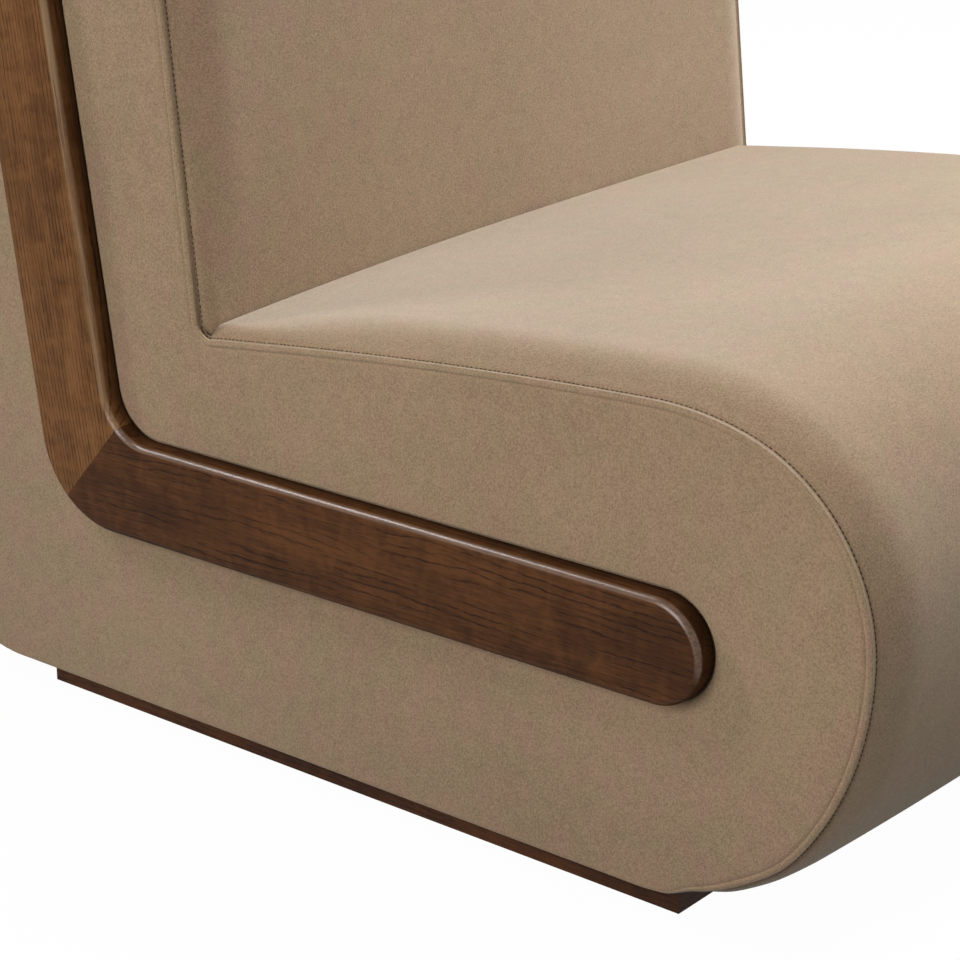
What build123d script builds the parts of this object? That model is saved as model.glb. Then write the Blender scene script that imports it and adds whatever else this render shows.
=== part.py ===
"""Armless L-shaped lounge chair: padded body, mitred wood side trims and a set-back plinth.

Units are millimetres. X runs across the chair, -Y to the front, +Z up, and the origin is on the floor
under the centre of the chair. Left and right are the sitter's, so the right side is at -X.
Side profiles are drawn in the plane of Y and Z, with Y counted from the tip of the nose at the side seam.
"""
from math import atan2, cos, degrees, radians, sin, tan
import os

from build123d import *

os.makedirs("parts", exist_ok=True)

# Body: width between the side seams, and heights
body_width = 776
body_top = 834
glide_height = 2
plinth_height = 23.5
underside = glide_height + plinth_height

# Nose of the seat, as arcs from the flat underside round to the seat
nose_low_radius, nose_low_turn = 170, 49.6
nose_front_radius = 260
nose_high_radius, nose_high_turn = 150, 75
nose_brow_radius, nose_brow_turn = 250, 18
seat_bow_radius, seat_bow_turn = 4450, 4.5

# Crease, back and rear, measured from the tip of the nose
crease_from_nose = 633.5
crease_radius = 16
crease_tight_radius = 6
back_recline = 6
rear_corner_from_nose = 953.5
rear_recline = 8.4
rear_radius = 100

# Crowns: how far the padding swells past the side seams at the middle of the width
nose_crown = 12
back_crown = 24
rear_crown = 8
seam_band = 6.6
roll_width = 44
roll_share = 0.85
roll_place_shares = (0.0, 0.28, 0.6, 1.0)

# Covers and padding
fabric = 2
ease = 1
dust_cloth = 1
cover_return = 15
rear_seam_drop = 30
foam_depth = 50
side_foam = 12
rear_foam = 12

# Plywood and rails
side_ply = 18
skin_ply = 6
rib_ply = 18
rib_spacing = 240
rail_thickness = 22
bottom_rail_height = 70
seat_rail_height = 80
back_rail_height = 64
top_rail_height = 46
tenon_share = 0.5
tenon_ease = 0.2
block_leg = 60
block_height = 50

# Elastic straps of the seat and the back
strap_width, strap_thickness = 60, 2
seat_strap_count = 5
back_strap_count = 3

# Wood trim on each side
trim_width = 85
trim_proud = 19
trim_edge_radius = 7
trim_front_from_nose = 169.5
trim_front_drop = 134
trim_corner_from_nose = 755
trim_corner_drop = 138.6
trim_top_drop = 163.3
trim_outer_radius = 80
trim_inner_radius = 44
spline_length, spline_width, spline_thickness = 46, 10, 4
spline_ease = 0.2

# Plinth, set back from the side seams; its ends follow the flat of the underside
plinth_inset = 19
plinth_thickness = 20
plinth_front_lead = 26.5
plinth_rear_inset = 27.2
plinth_block_leg = 90
plinth_edge_radius = 1
glide_radius = 12
glide_margin = 16

# Screws
screw_radius = 2.5
screw_head_radius = 5
screw_head_height = 3
screw_ease = 0.1
trim_screw_bite = 13
trim_screw_shares = (0.05, 0.66)
plinth_screw_length = 50
plinth_screw_inset_x, plinth_screw_inset_y = 21, 20

# Overrun of cutting tools past the faces that they cut
overrun = 5

half_width = body_width / 2
frame_half = half_width - fabric - side_foam
rail_half = frame_half - side_ply
cover_inset = fabric + ease / 2
foam_top_depth = fabric + ease
skin_depth = foam_top_depth + foam_depth
frame_depth = skin_depth + skin_ply
board_depth = foam_top_depth + rear_foam
rear_frame_depth = board_depth + skin_ply
frame_bottom = underside + dust_cloth
top_rail_thickness = frame_depth - rear_frame_depth + rail_thickness
trim_screw_length = side_ply + side_foam + fabric + trim_screw_bite
plinth_half = half_width - plinth_inset

# Headings in degrees from +Y towards +Z
to_front, upward = 180, 90
seat_heading = upward - nose_high_turn - nose_brow_turn - seat_bow_turn
back_heading = upward - back_recline
rear_heading = -upward - rear_recline
crease_turn = back_heading - seat_heading
top_half_turn = (back_heading - rear_heading) / 2
rear_low_turn = rear_heading + to_front


def ray(heading, length=1.0):
    """Vector of a length along a heading in the side plane."""
    return Vector(cos(radians(heading)), sin(radians(heading))) * length


def after(start, heading, steps):
    """Point and heading at the end of steps, each (length,) or (radius, turn)."""
    for step in steps:
        if len(step) == 1:
            start = start + ray(heading, step[0])
        else:
            radius, turn = step
            start = start + ray(heading + turn / 2, 2 * radius * sin(radians(abs(turn)) / 2))
            heading += turn
    return start, heading


def trail(start, heading, steps):
    """Edges of a smooth line through steps, each (length,) or (radius, turn)."""
    edges = []
    for step in steps:
        end, next_heading = after(start, heading, [step])
        if len(step) == 1:
            edges.append(Line(start, end))
        else:
            edges.append(JernArc(start, ray(heading), step[0], step[1]))
        start, heading = end, next_heading
    return edges


def meet(first, first_heading, second, second_heading):
    """Crossing point of two lines in the side plane."""
    along, across = ray(first_heading), ray(second_heading)
    gap = second - first
    reach = (gap.X * across.Y - gap.Y * across.X) / (along.X * across.Y - along.Y * across.X)
    return first + along * reach


def tangent_length(radius, turn):
    """Length that a fillet takes from each of the lines beside it."""
    return radius * tan(radians(abs(turn)) / 2)


def crown_share(x):
    """Share of the full crown at a place across the width: flat at the seam, a roll, then a low swell."""
    from_band = min(max(half_width - seam_band - abs(x), 0), roll_width)
    roll = 1 - (1 - from_band / roll_width) ** 2
    return roll_share * roll + (1 - roll_share) * (1 - (x / half_width) ** 2)


nose_flat = (nose_low_radius * sin(radians(nose_low_turn))
             + nose_front_radius * (1 - sin(radians(nose_low_turn))))
rear_flat = rear_corner_from_nose - tangent_length(rear_radius, rear_low_turn)
plinth_front_y = nose_flat - plinth_front_lead
plinth_rear_y = rear_flat - plinth_rear_inset


class Profile:
    """Side profile of the body at one depth under the covers and one share of the crown."""

    def __init__(self, depth=0.0, share=0.0):
        swell = nose_crown * share
        grow = swell - depth
        self.start = Vector(nose_flat, underside + depth)
        self.nose = [
            (nose_low_radius + grow, -nose_low_turn),
            (nose_front_radius + grow, nose_low_turn - upward),
            (nose_high_radius + grow, -nose_high_turn),
            (nose_brow_radius + grow, -nose_brow_turn),
        ]
        bow = (seat_bow_radius + grow, -seat_bow_turn)
        bow_end, _ = after(self.start, to_front, self.nose + [bow])
        foot = Vector(crease_from_nose, self.crease_height())
        back_point = foot + ray(back_heading + upward, back_crown * share - depth)
        crease = meet(bow_end, seat_heading, back_point, back_heading)
        tight = crease_radius + (crease_tight_radius - crease_radius) * share + depth
        reach = tangent_length(tight, crease_turn)
        self.seat = [bow, ((crease - bow_end).length - reach,)]
        rear_corner = Vector(rear_corner_from_nose, underside)
        rear_point = rear_corner + ray(-rear_recline, rear_crown * share - depth)
        self.top_centre, self.top_radius = self.top_round(back_point, rear_point, share, depth)
        top_front = self.top_centre + ray(back_heading + upward, self.top_radius)
        top_rear = self.top_centre + ray(-rear_recline, self.top_radius)
        self.back = [(tight, crease_turn), ((top_front - crease).length - reach,)]
        self.top = [(self.top_radius, -top_half_turn)] * 2
        corner = meet(rear_point, rear_heading, self.start, to_front)
        low_reach = corner.X - rear_flat
        low_radius = low_reach / tan(radians(abs(rear_low_turn)) / 2)
        self.rear = [((top_rear - corner).length - low_reach,), (low_radius, -rear_low_turn)]

    @staticmethod
    def crease_height():
        """Height of the seat line where it meets the back at the side seam."""
        arcs = [(nose_low_radius, -nose_low_turn), (nose_front_radius, nose_low_turn - upward),
                (nose_high_radius, -nose_high_turn), (nose_brow_radius, -nose_brow_turn),
                (seat_bow_radius, -seat_bow_turn)]
        end, heading = after(Vector(nose_flat, underside), to_front, arcs)
        return end.Y + (crease_from_nose - end.X) * tan(radians(heading))

    @staticmethod
    def top_round(back_point, rear_point, share, depth):
        """Centre and radius of the round that joins the front and rear lines under the body's top."""
        top = body_top + (back_crown + rear_crown) / 2 * share - depth
        lean, rear_lean = tan(radians(back_recline)), tan(radians(rear_recline))
        front_y = back_point.X + (top - back_point.Y) * lean
        rear_y = rear_point.X + (top - rear_point.Y) * rear_lean
        spread = 1 / cos(radians(back_recline)) + 1 / cos(radians(rear_recline)) + rear_lean - lean
        radius = (rear_y - front_y) / spread
        centre_z = top - radius
        centre_y = front_y - radius * lean + radius / cos(radians(back_recline))
        return Vector(centre_y, centre_z), radius

    def at(self, steps):
        """Point and heading after some of the profile's steps."""
        return after(self.start, to_front, steps)


full_profile = Profile(share=1.0)
front_most = -nose_crown
rear_most = full_profile.top_centre.X + full_profile.top_radius
nose_y = -(front_most + rear_most) / 2


def side_plane(x):
    """Plane of a side profile at a place across the width."""
    return Plane(origin=(x, nose_y, 0), x_dir=(0, 1, 0), z_dir=(1, 0, 0))


def wire_at(edges, x):
    """Closed wire of profile edges at a place across the width."""
    return side_plane(x).from_local_coords(Wire(edges))


def crowned_body(depth):
    """Whole body at one depth, lofted through side profiles that swell towards the middle."""
    wires = []
    side = [half_width] + [half_width - seam_band - roll_width * share for share in roll_place_shares]
    for x in [-place for place in side] + [0.0] + side[::-1]:
        profile = Profile(depth, crown_share(x))
        steps = profile.nose + profile.seat + profile.back + profile.top + profile.rear
        end, _ = profile.at(steps)
        wires.append(wire_at(trail(profile.start, to_front, steps) + [Line(end, profile.start)], x))
    return Solid.make_loft(wires, ruled=True)


def across(edges, low_x, high_x):
    """Solid with a side profile, between two places across the width."""
    return extrude(Face(wire_at(edges, low_x)), amount=high_x - low_x, dir=(1, 0, 0))


def zone(*corners):
    """Prism across the whole width with a side outline of straight lines, to divide pieces with."""
    reach = half_width + trim_proud + overrun
    return across(Polyline(*corners, close=True).edges(), -reach, reach)


def panel_edges(depth, rear_depth, bottom):
    """Closed L outline at one depth at the front and another at the rear, flat at the bottom."""
    front, rear = Profile(depth), Profile(rear_depth)
    steps = front.nose + front.seat + front.back + front.top + [(rear_seam_drop,)]
    seam, heading = front.at(steps)
    low_front = Vector(nose_flat + cover_return, front.start.Y)
    low_rear = Vector(rear_flat - cover_return, underside + rear_depth)
    rear_start = seam + ray(-rear_recline, depth - rear_depth)
    rear_steps = [(rear.rear[0][0] - rear_seam_drop,), rear.rear[1], (cover_return,)]
    edges = [Line(low_front, front.start)] + trail(front.start, to_front, steps)
    if depth > rear_depth:
        edges.append(Line(seam, rear_start))
    edges += trail(rear_start, heading, rear_steps)
    edges.append(Line(low_rear, Vector(low_rear.X, bottom)))
    edges.append(Line(Vector(low_rear.X, bottom), Vector(low_front.X, bottom)))
    edges.append(Line(Vector(low_front.X, bottom), low_front))
    return edges


def box_between(x_range, y_range, z_range):
    """Box between pairs of places, with Y counted from the nose."""
    (x0, x1), (y0, y1), (z0, z1) = x_range, y_range, z_range
    centre = Pos((x0 + x1) / 2, nose_y + (y0 + y1) / 2, (z0 + z1) / 2)
    return centre * Box(x1 - x0, y1 - y0, z1 - z0)


def mirrored(solid):
    """The same piece on the other side of the chair."""
    return mirror(solid, about=Plane.YZ)


def both_sides(solids):
    """Solids of the left side with their copies on the right."""
    return Compound(children=solids + [mirrored(solid) for solid in solids])


# Points on the inner structure, where rails, skins and straps meet it
deck = Profile(frame_depth)
deck_front, _ = deck.at(deck.nose)
deck_rear, _ = deck.at(deck.nose + deck.seat)
back_low, _ = deck.at(deck.nose + deck.seat + deck.back[:1])
back_high, _ = deck.at(deck.nose + deck.seat + deck.back)
top_rear, _ = deck.at(deck.nose + deck.seat + deck.back + deck.top)
deck_heading = degrees(atan2(deck_rear.Y - deck_front.Y, deck_rear.X - deck_front.X))
crease_point = Vector(crease_from_nose, Profile.crease_height())
crease_in = (seat_heading + back_heading) / 2 - upward
hollow = crease_point + ray(crease_in, crease_from_nose / 3)
far = body_width * 2
rear_seam = top_rear + ray(rear_heading, rear_seam_drop)
rear_cut_in = rear_seam - ray(-rear_recline, frame_depth)
rear_cut_out = rear_seam + ray(-rear_recline, far)
rear_ledge = rear_seam + ray(-rear_recline, frame_depth - rear_frame_depth)
front_return, rear_return = nose_flat + cover_return, rear_flat - cover_return
low_front, low_rear = Vector(front_return, hollow.Y), Vector(rear_return, hollow.Y)


def front_zone():
    """Prism that holds the nose, seat, back front and top."""
    return zone(Vector(-far, -far), Vector(front_return, -far), low_front, hollow,
                rear_cut_in, rear_cut_out, Vector(far, far), Vector(-far, far))


def rear_zone():
    """Prism that holds the rear and its low corner."""
    return zone(rear_cut_out, rear_cut_in, hollow, low_rear, Vector(rear_return, -far), Vector(far, -far))


def seat_zone():
    """Prism in front of and below the crease."""
    crease_out = crease_point - ray(crease_in, far)
    return zone(crease_out, hollow, low_front, Vector(front_return, -far), Vector(-far, -far))


def corners_on(start, heading, height, thickness):
    """Corners of a board that stands on a line of the side plane, with its thickness to the right of it."""
    up, into = ray(heading, height), ray(heading - upward, thickness)
    return [start, start + up, start + up + into, start + into]


def seat_rail_corners(front_y):
    """Corners of an upright rail under the deck line, with its front face at a place from the nose."""
    places = (front_y, front_y + rail_thickness)
    front, rear = [meet(deck_front, deck_heading, Vector(y, 0), upward) for y in places]
    drop = Vector(0, -seat_rail_height)
    return [front + drop, front, rear, rear + drop]


def bottom_rail_corners(front_y):
    """Corners of a rail on the underside, with its front face at a place from the nose."""
    return corners_on(Vector(front_y, frame_bottom), upward, bottom_rail_height, rail_thickness)


rail_corners = {
    "front_bottom_rail": bottom_rail_corners(front_return),
    "rear_bottom_rail": bottom_rail_corners(rear_return - rail_thickness),
    "seat_front_rail": seat_rail_corners(front_return),
    "seat_rear_rail": seat_rail_corners(deck_rear.X - rail_thickness),
    "back_lower_rail": corners_on(back_low, back_heading, back_rail_height, rail_thickness),
    "back_upper_rail": corners_on(back_high - ray(back_heading, back_rail_height), back_heading,
                                  back_rail_height, rail_thickness),
    "top_rear_rail": corners_on(rear_ledge, rear_heading, top_rail_height, top_rail_thickness),
}


def shank(origin, direction, length, spare):
    """Shank of a screw that enters a face at a point; spare widens it to its hole."""
    plane = Plane(origin=origin, z_dir=direction)
    return extrude(plane * Circle(screw_radius + spare), amount=length + spare)


def head(origin, direction, spare=0.0):
    """Head of a screw, from a point along a direction; spare widens it to its sink."""
    plane = Plane(origin=origin, z_dir=direction)
    return extrude(plane * Circle(screw_head_radius + spare), amount=screw_head_height + spare)


trim_front = Vector(trim_front_from_nose, crease_point.Y - trim_front_drop)
trim_corner = Vector(trim_corner_from_nose, crease_point.Y - trim_corner_drop)
trim_low_heading = degrees(atan2(trim_corner.Y - trim_front.Y, trim_corner.X - trim_front.X))
trim_high_heading = upward - rear_recline
trim_upright_length = (body_top - trim_top_drop - trim_corner.Y) / sin(radians(trim_high_heading))
trim_top = trim_corner + ray(trim_high_heading, trim_upright_length)
mitre_heading = (trim_low_heading + trim_high_heading) / 2 - upward


def trim_screw_places():
    """Places of the left trim's screws on the inner face of the side frame."""
    places = [trim_front + (trim_corner - trim_front) * share for share in trim_screw_shares]
    places += [trim_top + (trim_corner - trim_top) * share for share in trim_screw_shares]
    return [Vector(rail_half, nose_y + place.X, place.Y) for place in places]


def trim_holes():
    """Holes for the left trim's screws, through the side frame, foam and cover into the wood."""
    return [shank(place, (1, 0, 0), trim_screw_length, screw_ease) for place in trim_screw_places()]


def trim_screws():
    """Screws of the left trim, with their heads on the inner face of the side frame."""
    return [shank(place, (1, 0, 0), trim_screw_length, 0) + head(place, (-1, 0, 0))
            for place in trim_screw_places()]


def plinth_screws(spare=0.0):
    """Screws of the left side, up through the plinth blocks into the blocks of the frame."""
    x = rail_half - plinth_screw_inset_x
    front_y = front_return + rail_thickness + plinth_screw_inset_y
    rear_y = rear_return - rail_thickness - plinth_screw_inset_y
    places = [Vector(x, nose_y + y, glide_height) for y in (front_y, rear_y)]
    return [shank(place, (0, 0, 1), plinth_screw_length, spare) + head(place, (0, 0, 1), spare)
            for place in places]


def make_covers():
    """Velvet covers and the cloth on the underside."""
    shell = crowned_body(0) - crowned_body(fabric)
    side = across(panel_edges(cover_inset, cover_inset, underside), half_width - fabric, half_width)
    side -= trim_holes()
    dust = box_between((-frame_half, frame_half), (front_return, rear_return), (underside, frame_bottom))
    return {
        "main_cover": shell & front_zone(),
        "rear_cover": shell & rear_zone(),
        "side_cover_left": side,
        "side_cover_right": mirrored(side),
        "dust_cover": dust - both_sides(plinth_screws(screw_ease)),
    }


def make_padding():
    """Foam on the seat and nose, back and top, sides and rear."""
    core = across(panel_edges(skin_depth, board_depth, underside - overrun), -half_width, half_width)
    width = box_between((-frame_half, frame_half), (-far, far), (0, far))
    foam = (crowned_body(foam_top_depth) & width) - core
    front = foam & front_zone()
    side = across(panel_edges(foam_top_depth, foam_top_depth, underside), frame_half, half_width - fabric)
    side -= trim_holes()
    return {
        "seat_foam": front & seat_zone(),
        "back_foam": front - seat_zone(),
        "rear_pad": foam & rear_zone(),
        "side_pad_left": side,
        "side_pad_right": mirrored(side),
    }


def make_skins():
    """Bent boards over the ribs of the nose and the top, and the board that closes the rear."""
    outer = across(panel_edges(skin_depth, board_depth, frame_bottom), -frame_half, frame_half)
    inner = panel_edges(frame_depth, rear_frame_depth, frame_bottom - overrun)
    shell = outer - across(inner, -half_width, half_width)
    above = zone(*top_corners(0))
    return {
        "nose_skin": shell & zone(*nose_corners()),
        "top_skin": shell & above & front_zone(),
        "rear_board": shell & rear_zone(),
    }


def nose_corners():
    """Outline of all that is in front of the front rails."""
    return [Vector(-far, -far), Vector(front_return, -far), Vector(front_return, far), Vector(-far, far)]


def top_corners(step):
    """Outline of all that is above the back's straight front, with a step over the upper rail."""
    foot = back_high + ray(back_heading - upward, step)
    return [back_high - ray(back_heading - upward, far), foot, rear_seam, rear_cut_out,
            Vector(far, far), Vector(-far, far)]


def tenon(corners, spare=0.0):
    """Through tenon of a rail, at the middle of its height; spare widens it to the side frame's slot."""
    low, high, high_far, low_far = corners
    up, into = (high - low).normalized(), (low_far - low).normalized()
    reach = (high - low).length * tenon_share / 2 + spare
    middle, middle_far = (low + high) / 2 - into * spare, (low_far + high_far) / 2 + into * spare
    outline = Polyline(middle - up * reach, middle + up * reach, middle_far + up * reach,
                       middle_far - up * reach, close=True)
    return across(outline.edges(), -frame_half, frame_half)


def make_frame():
    """Plywood side frames and ribs, and the rails with tenons through the side frames."""
    edges = panel_edges(frame_depth, rear_frame_depth, frame_bottom)
    slots = [tenon(corners, tenon_ease) for corners in rail_corners.values()]
    side = across(edges, rail_half, frame_half) - slots - trim_holes()
    parts = {"side_frame_left": side, "side_frame_right": mirrored(side)}
    for name, corners in rail_corners.items():
        rail = across(Polyline(*corners, close=True).edges(), -rail_half, rail_half)
        parts[name] = rail + tenon(corners)
    ribs_x = rib_spacing / 2 - rib_ply / 2
    rib = across(edges, ribs_x, ribs_x + rib_ply)
    parts["nose_ribs"] = both_sides([rib & zone(*nose_corners())])
    parts["top_ribs"] = both_sides([rib & zone(*top_corners(rail_thickness))])
    return parts


def corner_block(x, y, x_leg, y_leg, low, height):
    """Three-cornered block in an inner corner, with its legs along the two faces there."""
    corner = Vector(x, nose_y + y, low)
    outline = Polyline(corner, corner + Vector(x_leg, 0), corner + Vector(0, y_leg), close=True)
    return extrude(Face(Wire(outline.edges())), amount=height, dir=(0, 0, 1))


def make_blocks():
    """Glued blocks where the bottom rails and seat rails meet the side frames."""
    front_y = front_return + rail_thickness
    rise = (seat_rail_height - block_height) / 2
    places = [(front_y, block_leg, frame_bottom),
              (rear_return - rail_thickness, -block_leg, frame_bottom),
              (front_y, block_leg, rail_corners["seat_front_rail"][0].Y + rise),
              (deck_rear.X - rail_thickness, -block_leg, rail_corners["seat_rear_rail"][0].Y + rise)]
    blocks = [corner_block(rail_half, y, -block_leg, y_leg, low, block_height) for y, y_leg, low in places]
    holes = plinth_screws(screw_ease)
    return {"corner_blocks": both_sides([block - holes for block in blocks])}


def seat_straps():
    """Straps from the front seat rail to the rear one, on top of both."""
    front = meet(deck_front, deck_heading, Vector(front_return, 0), upward)
    top = corners_on(front, deck_heading, (deck_rear - front).length, -strap_thickness)
    gap = (2 * rail_half - seat_strap_count * strap_width) / (seat_strap_count + 1)
    places = [-rail_half + gap + index * (strap_width + gap) for index in range(seat_strap_count)]
    return [across(Polyline(*top, close=True).edges(), x, x + strap_width) for x in places]


def back_straps():
    """Straps across the back, on the front edges of the side frames between the rails."""
    low = back_low + ray(back_heading, back_rail_height)
    span = (back_high - low).length - back_rail_height
    gap = (span - back_strap_count * strap_width) / (back_strap_count + 1)
    straps = []
    for index in range(back_strap_count):
        start = low + ray(back_heading, gap + index * (strap_width + gap))
        corners = corners_on(start, back_heading, strap_width, -strap_thickness)
        straps.append(across(Polyline(*corners, close=True).edges(), -frame_half, frame_half))
    return straps


def trim_edges():
    """Closed outline of the side trim: two legs, a round corner and round ends."""
    turn = trim_high_heading - trim_low_heading
    half = trim_width / 2
    mitre = half * tan(radians(turn) / 2)
    outer, inner = tangent_length(trim_outer_radius, turn), tangent_length(trim_inner_radius, turn)
    low, high = (trim_corner - trim_front).length, trim_upright_length
    steps = [(low + mitre - outer,), (trim_outer_radius, turn), (high + mitre - outer,), (half, to_front),
             (high - mitre - inner,), (trim_inner_radius, -turn), (low - mitre - inner,), (half, to_front)]
    return trail(trim_front + ray(trim_low_heading - upward, half), trim_low_heading, steps)


def spline(spare=0.0):
    """Loose spline across the mitre of the left trim; spare widens it to its slot."""
    length, width = spline_length + spare, spline_width + spare
    start = trim_corner - ray(mitre_heading, length / 2) - ray(mitre_heading - upward, width / 2)
    corners = corners_on(start, mitre_heading, length, width)
    middle, reach = half_width + trim_proud / 2, (spline_thickness + spare) / 2
    return across(Polyline(*corners, close=True).edges(), middle - reach, middle + reach)


def make_trims():
    """Wood trims with their mitred corner, splines and screws."""
    strip = across(trim_edges(), half_width, half_width + trim_proud)
    strip = fillet(strip.faces().sort_by(Axis.X)[-1].edges(), trim_edge_radius)
    strip = strip - spline(spline_ease) - trim_holes()
    ends = trim_corner + ray(mitre_heading, far), trim_corner - ray(mitre_heading, far)
    front = ray(mitre_heading - upward, far)
    ahead = zone(*ends, ends[1] + front, ends[0] + front)
    seat, back = strip & ahead, strip - ahead
    return {
        "trim_seat_left": seat, "trim_seat_right": mirrored(seat),
        "trim_back_left": back, "trim_back_right": mirrored(back),
        "mitre_splines": both_sides([spline()]),
        "trim_screws": both_sides(trim_screws()),
    }


def plinth_corners(inset):
    """Corners of the plinth's outline seen from above, going round from the front right."""
    x, front, rear = plinth_half - inset, nose_y + plinth_front_y + inset, nose_y + plinth_rear_y - inset
    return [Vector(-x, front), Vector(x, front), Vector(x, rear), Vector(-x, rear)]


def make_plinth():
    """Mitred plinth rails with their blocks, screws and glides."""
    outer, inner = plinth_corners(0), plinth_corners(plinth_thickness)
    parts = {}
    for index, name in enumerate(("plinth_front", "plinth_left", "plinth_rear", "plinth_right")):
        after_index = (index + 1) % len(outer)
        points = [outer[index], outer[after_index], inner[after_index], inner[index]]
        rail = extrude(Pos(0, 0, glide_height) * Face(Wire(Polyline(*points, close=True).edges())),
                       amount=plinth_height, dir=(0, 0, 1))
        middle = (outer[index] + outer[after_index]) / 2 + Vector(0, 0, underside / 2)
        edges = rail.edges().filter_by(Axis.Z, reverse=True).sort_by_distance(middle)
        parts[name] = fillet(edges[:2], plinth_edge_radius)
    y_front = plinth_front_y + plinth_thickness
    y_rear = plinth_rear_y - plinth_thickness
    leg, x = plinth_block_leg, plinth_half - plinth_thickness
    blocks = [corner_block(x, y_front, -leg, leg, glide_height, plinth_height),
              corner_block(x, y_rear, -leg, -leg, glide_height, plinth_height)]
    parts["plinth_blocks"] = both_sides([block - plinth_screws(screw_ease) for block in blocks])
    parts["plinth_screws"] = both_sides(plinth_screws())
    glides = [Pos(spot.X, spot.Y, glide_height / 2) * Cylinder(glide_radius, glide_height)
              for spot in plinth_corners(glide_margin)]
    parts["floor_glides"] = Compound(children=glides)
    return parts


pieces = {**make_covers(), **make_padding(), **make_skins(), **make_frame(), **make_blocks(),
          **make_trims(), **make_plinth(), "seat_webbing": Compound(children=seat_straps()),
          "back_webbing": Compound(children=back_straps())}
for name, solid in pieces.items():
    export_step(solid, f"parts/{name}.step")
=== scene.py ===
"""Dressed model of an armless velvet lounge chair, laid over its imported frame.

Units are metres. -Y is the front of the seat, +Z is up, and the sitter's right side is at -X.
Side profiles lie in the plane of Y and Z, with Y counted from the tip of the nose at the side seam.
Headings are degrees from +Y towards +Z.
"""
import logging
from collections.abc import Callable, Sequence
from dataclasses import dataclass
from enum import Enum
from math import atan2, ceil, cos, degrees, exp, radians, sin, sqrt, tan

import bmesh
import bpy
from mathutils import Matrix, Vector


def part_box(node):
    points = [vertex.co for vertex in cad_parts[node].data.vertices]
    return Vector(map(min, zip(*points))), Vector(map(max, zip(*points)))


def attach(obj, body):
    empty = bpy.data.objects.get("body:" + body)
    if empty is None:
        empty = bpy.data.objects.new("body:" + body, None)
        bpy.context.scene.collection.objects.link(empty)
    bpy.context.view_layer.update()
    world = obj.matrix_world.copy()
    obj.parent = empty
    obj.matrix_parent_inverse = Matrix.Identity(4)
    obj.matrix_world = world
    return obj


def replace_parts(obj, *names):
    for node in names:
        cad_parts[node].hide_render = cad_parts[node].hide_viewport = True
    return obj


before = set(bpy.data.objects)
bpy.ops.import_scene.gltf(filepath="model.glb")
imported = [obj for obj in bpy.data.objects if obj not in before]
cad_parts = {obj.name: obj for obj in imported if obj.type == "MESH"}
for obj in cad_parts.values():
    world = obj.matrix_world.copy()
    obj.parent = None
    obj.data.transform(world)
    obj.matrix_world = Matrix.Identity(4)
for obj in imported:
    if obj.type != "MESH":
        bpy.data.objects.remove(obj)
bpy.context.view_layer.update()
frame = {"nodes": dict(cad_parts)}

log = logging.getLogger("chair")

Colour = tuple[float, float, float]
Step = tuple[float, ...]
Span = tuple[float, float, float, float]

UPWARD = 90.0
HALF_TURN = 180.0
CROSSWISE = (0.0, 0.0, radians(UPWARD))
MERGE_DISTANCE = 1e-6


class Side(Enum):
    """The two sides of the chair, as the sitter has them."""

    RIGHT = -1
    LEFT = 1

    @property
    def word(self) -> str:
        """Lower-case name of the side."""
        return self.name.lower()


def ray(heading: float, length: float = 1.0) -> Vector:
    """Vector of a length along a heading, as (Y, Z)."""
    return Vector((cos(radians(heading)), sin(radians(heading)))) * length


def go(start: Vector, heading: float, step: Step, share: float = 1.0) -> tuple[Vector, float]:
    """Moves along a share of one step of an outline.

    Args:
        start: Point where the step starts.
        heading: Heading there.
        step: (length,) for a straight step or (radius, turn) for an arc.
        share: Share of the step that is covered.

    Returns:
        The point that is reached and the heading there.
    """
    if len(step) == 1:
        return start + ray(heading, step[0] * share), heading
    radius, turn = step[0], step[1] * share
    return start + ray(heading + turn / 2, 2 * radius * sin(radians(abs(turn)) / 2)), heading + turn


def meet(first: Vector, first_heading: float, second: Vector, second_heading: float) -> Vector:
    """Crossing point of two lines.

    Args:
        first: Point on the first line.
        first_heading: Its heading.
        second: Point on the second line.
        second_heading: Its heading.

    Returns:
        The point where they cross.
    """
    along, across = ray(first_heading), ray(second_heading)
    gap = second - first
    reach = (gap.x * across.y - gap.y * across.x) / (along.x * across.y - along.y * across.x)
    return first + along * reach


def tangent_length(radius: float, turn: float) -> float:
    """Length that a fillet takes from each of the lines beside it."""
    return radius * tan(radians(abs(turn)) / 2)


def smooth(value: float) -> float:
    """Eased share between 0 and 1."""
    value = min(max(value, 0.0), 1.0)
    return value * value * (3 - 2 * value)


def rise_and_fall(value: float, bounds: Span) -> float:
    """Share that rises between the first two bounds and falls between the last two."""
    rise, fall = bounds[1] - bounds[0], bounds[3] - bounds[2]
    return smooth((value - bounds[0]) / rise) * smooth((bounds[3] - value) / fall)


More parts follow.
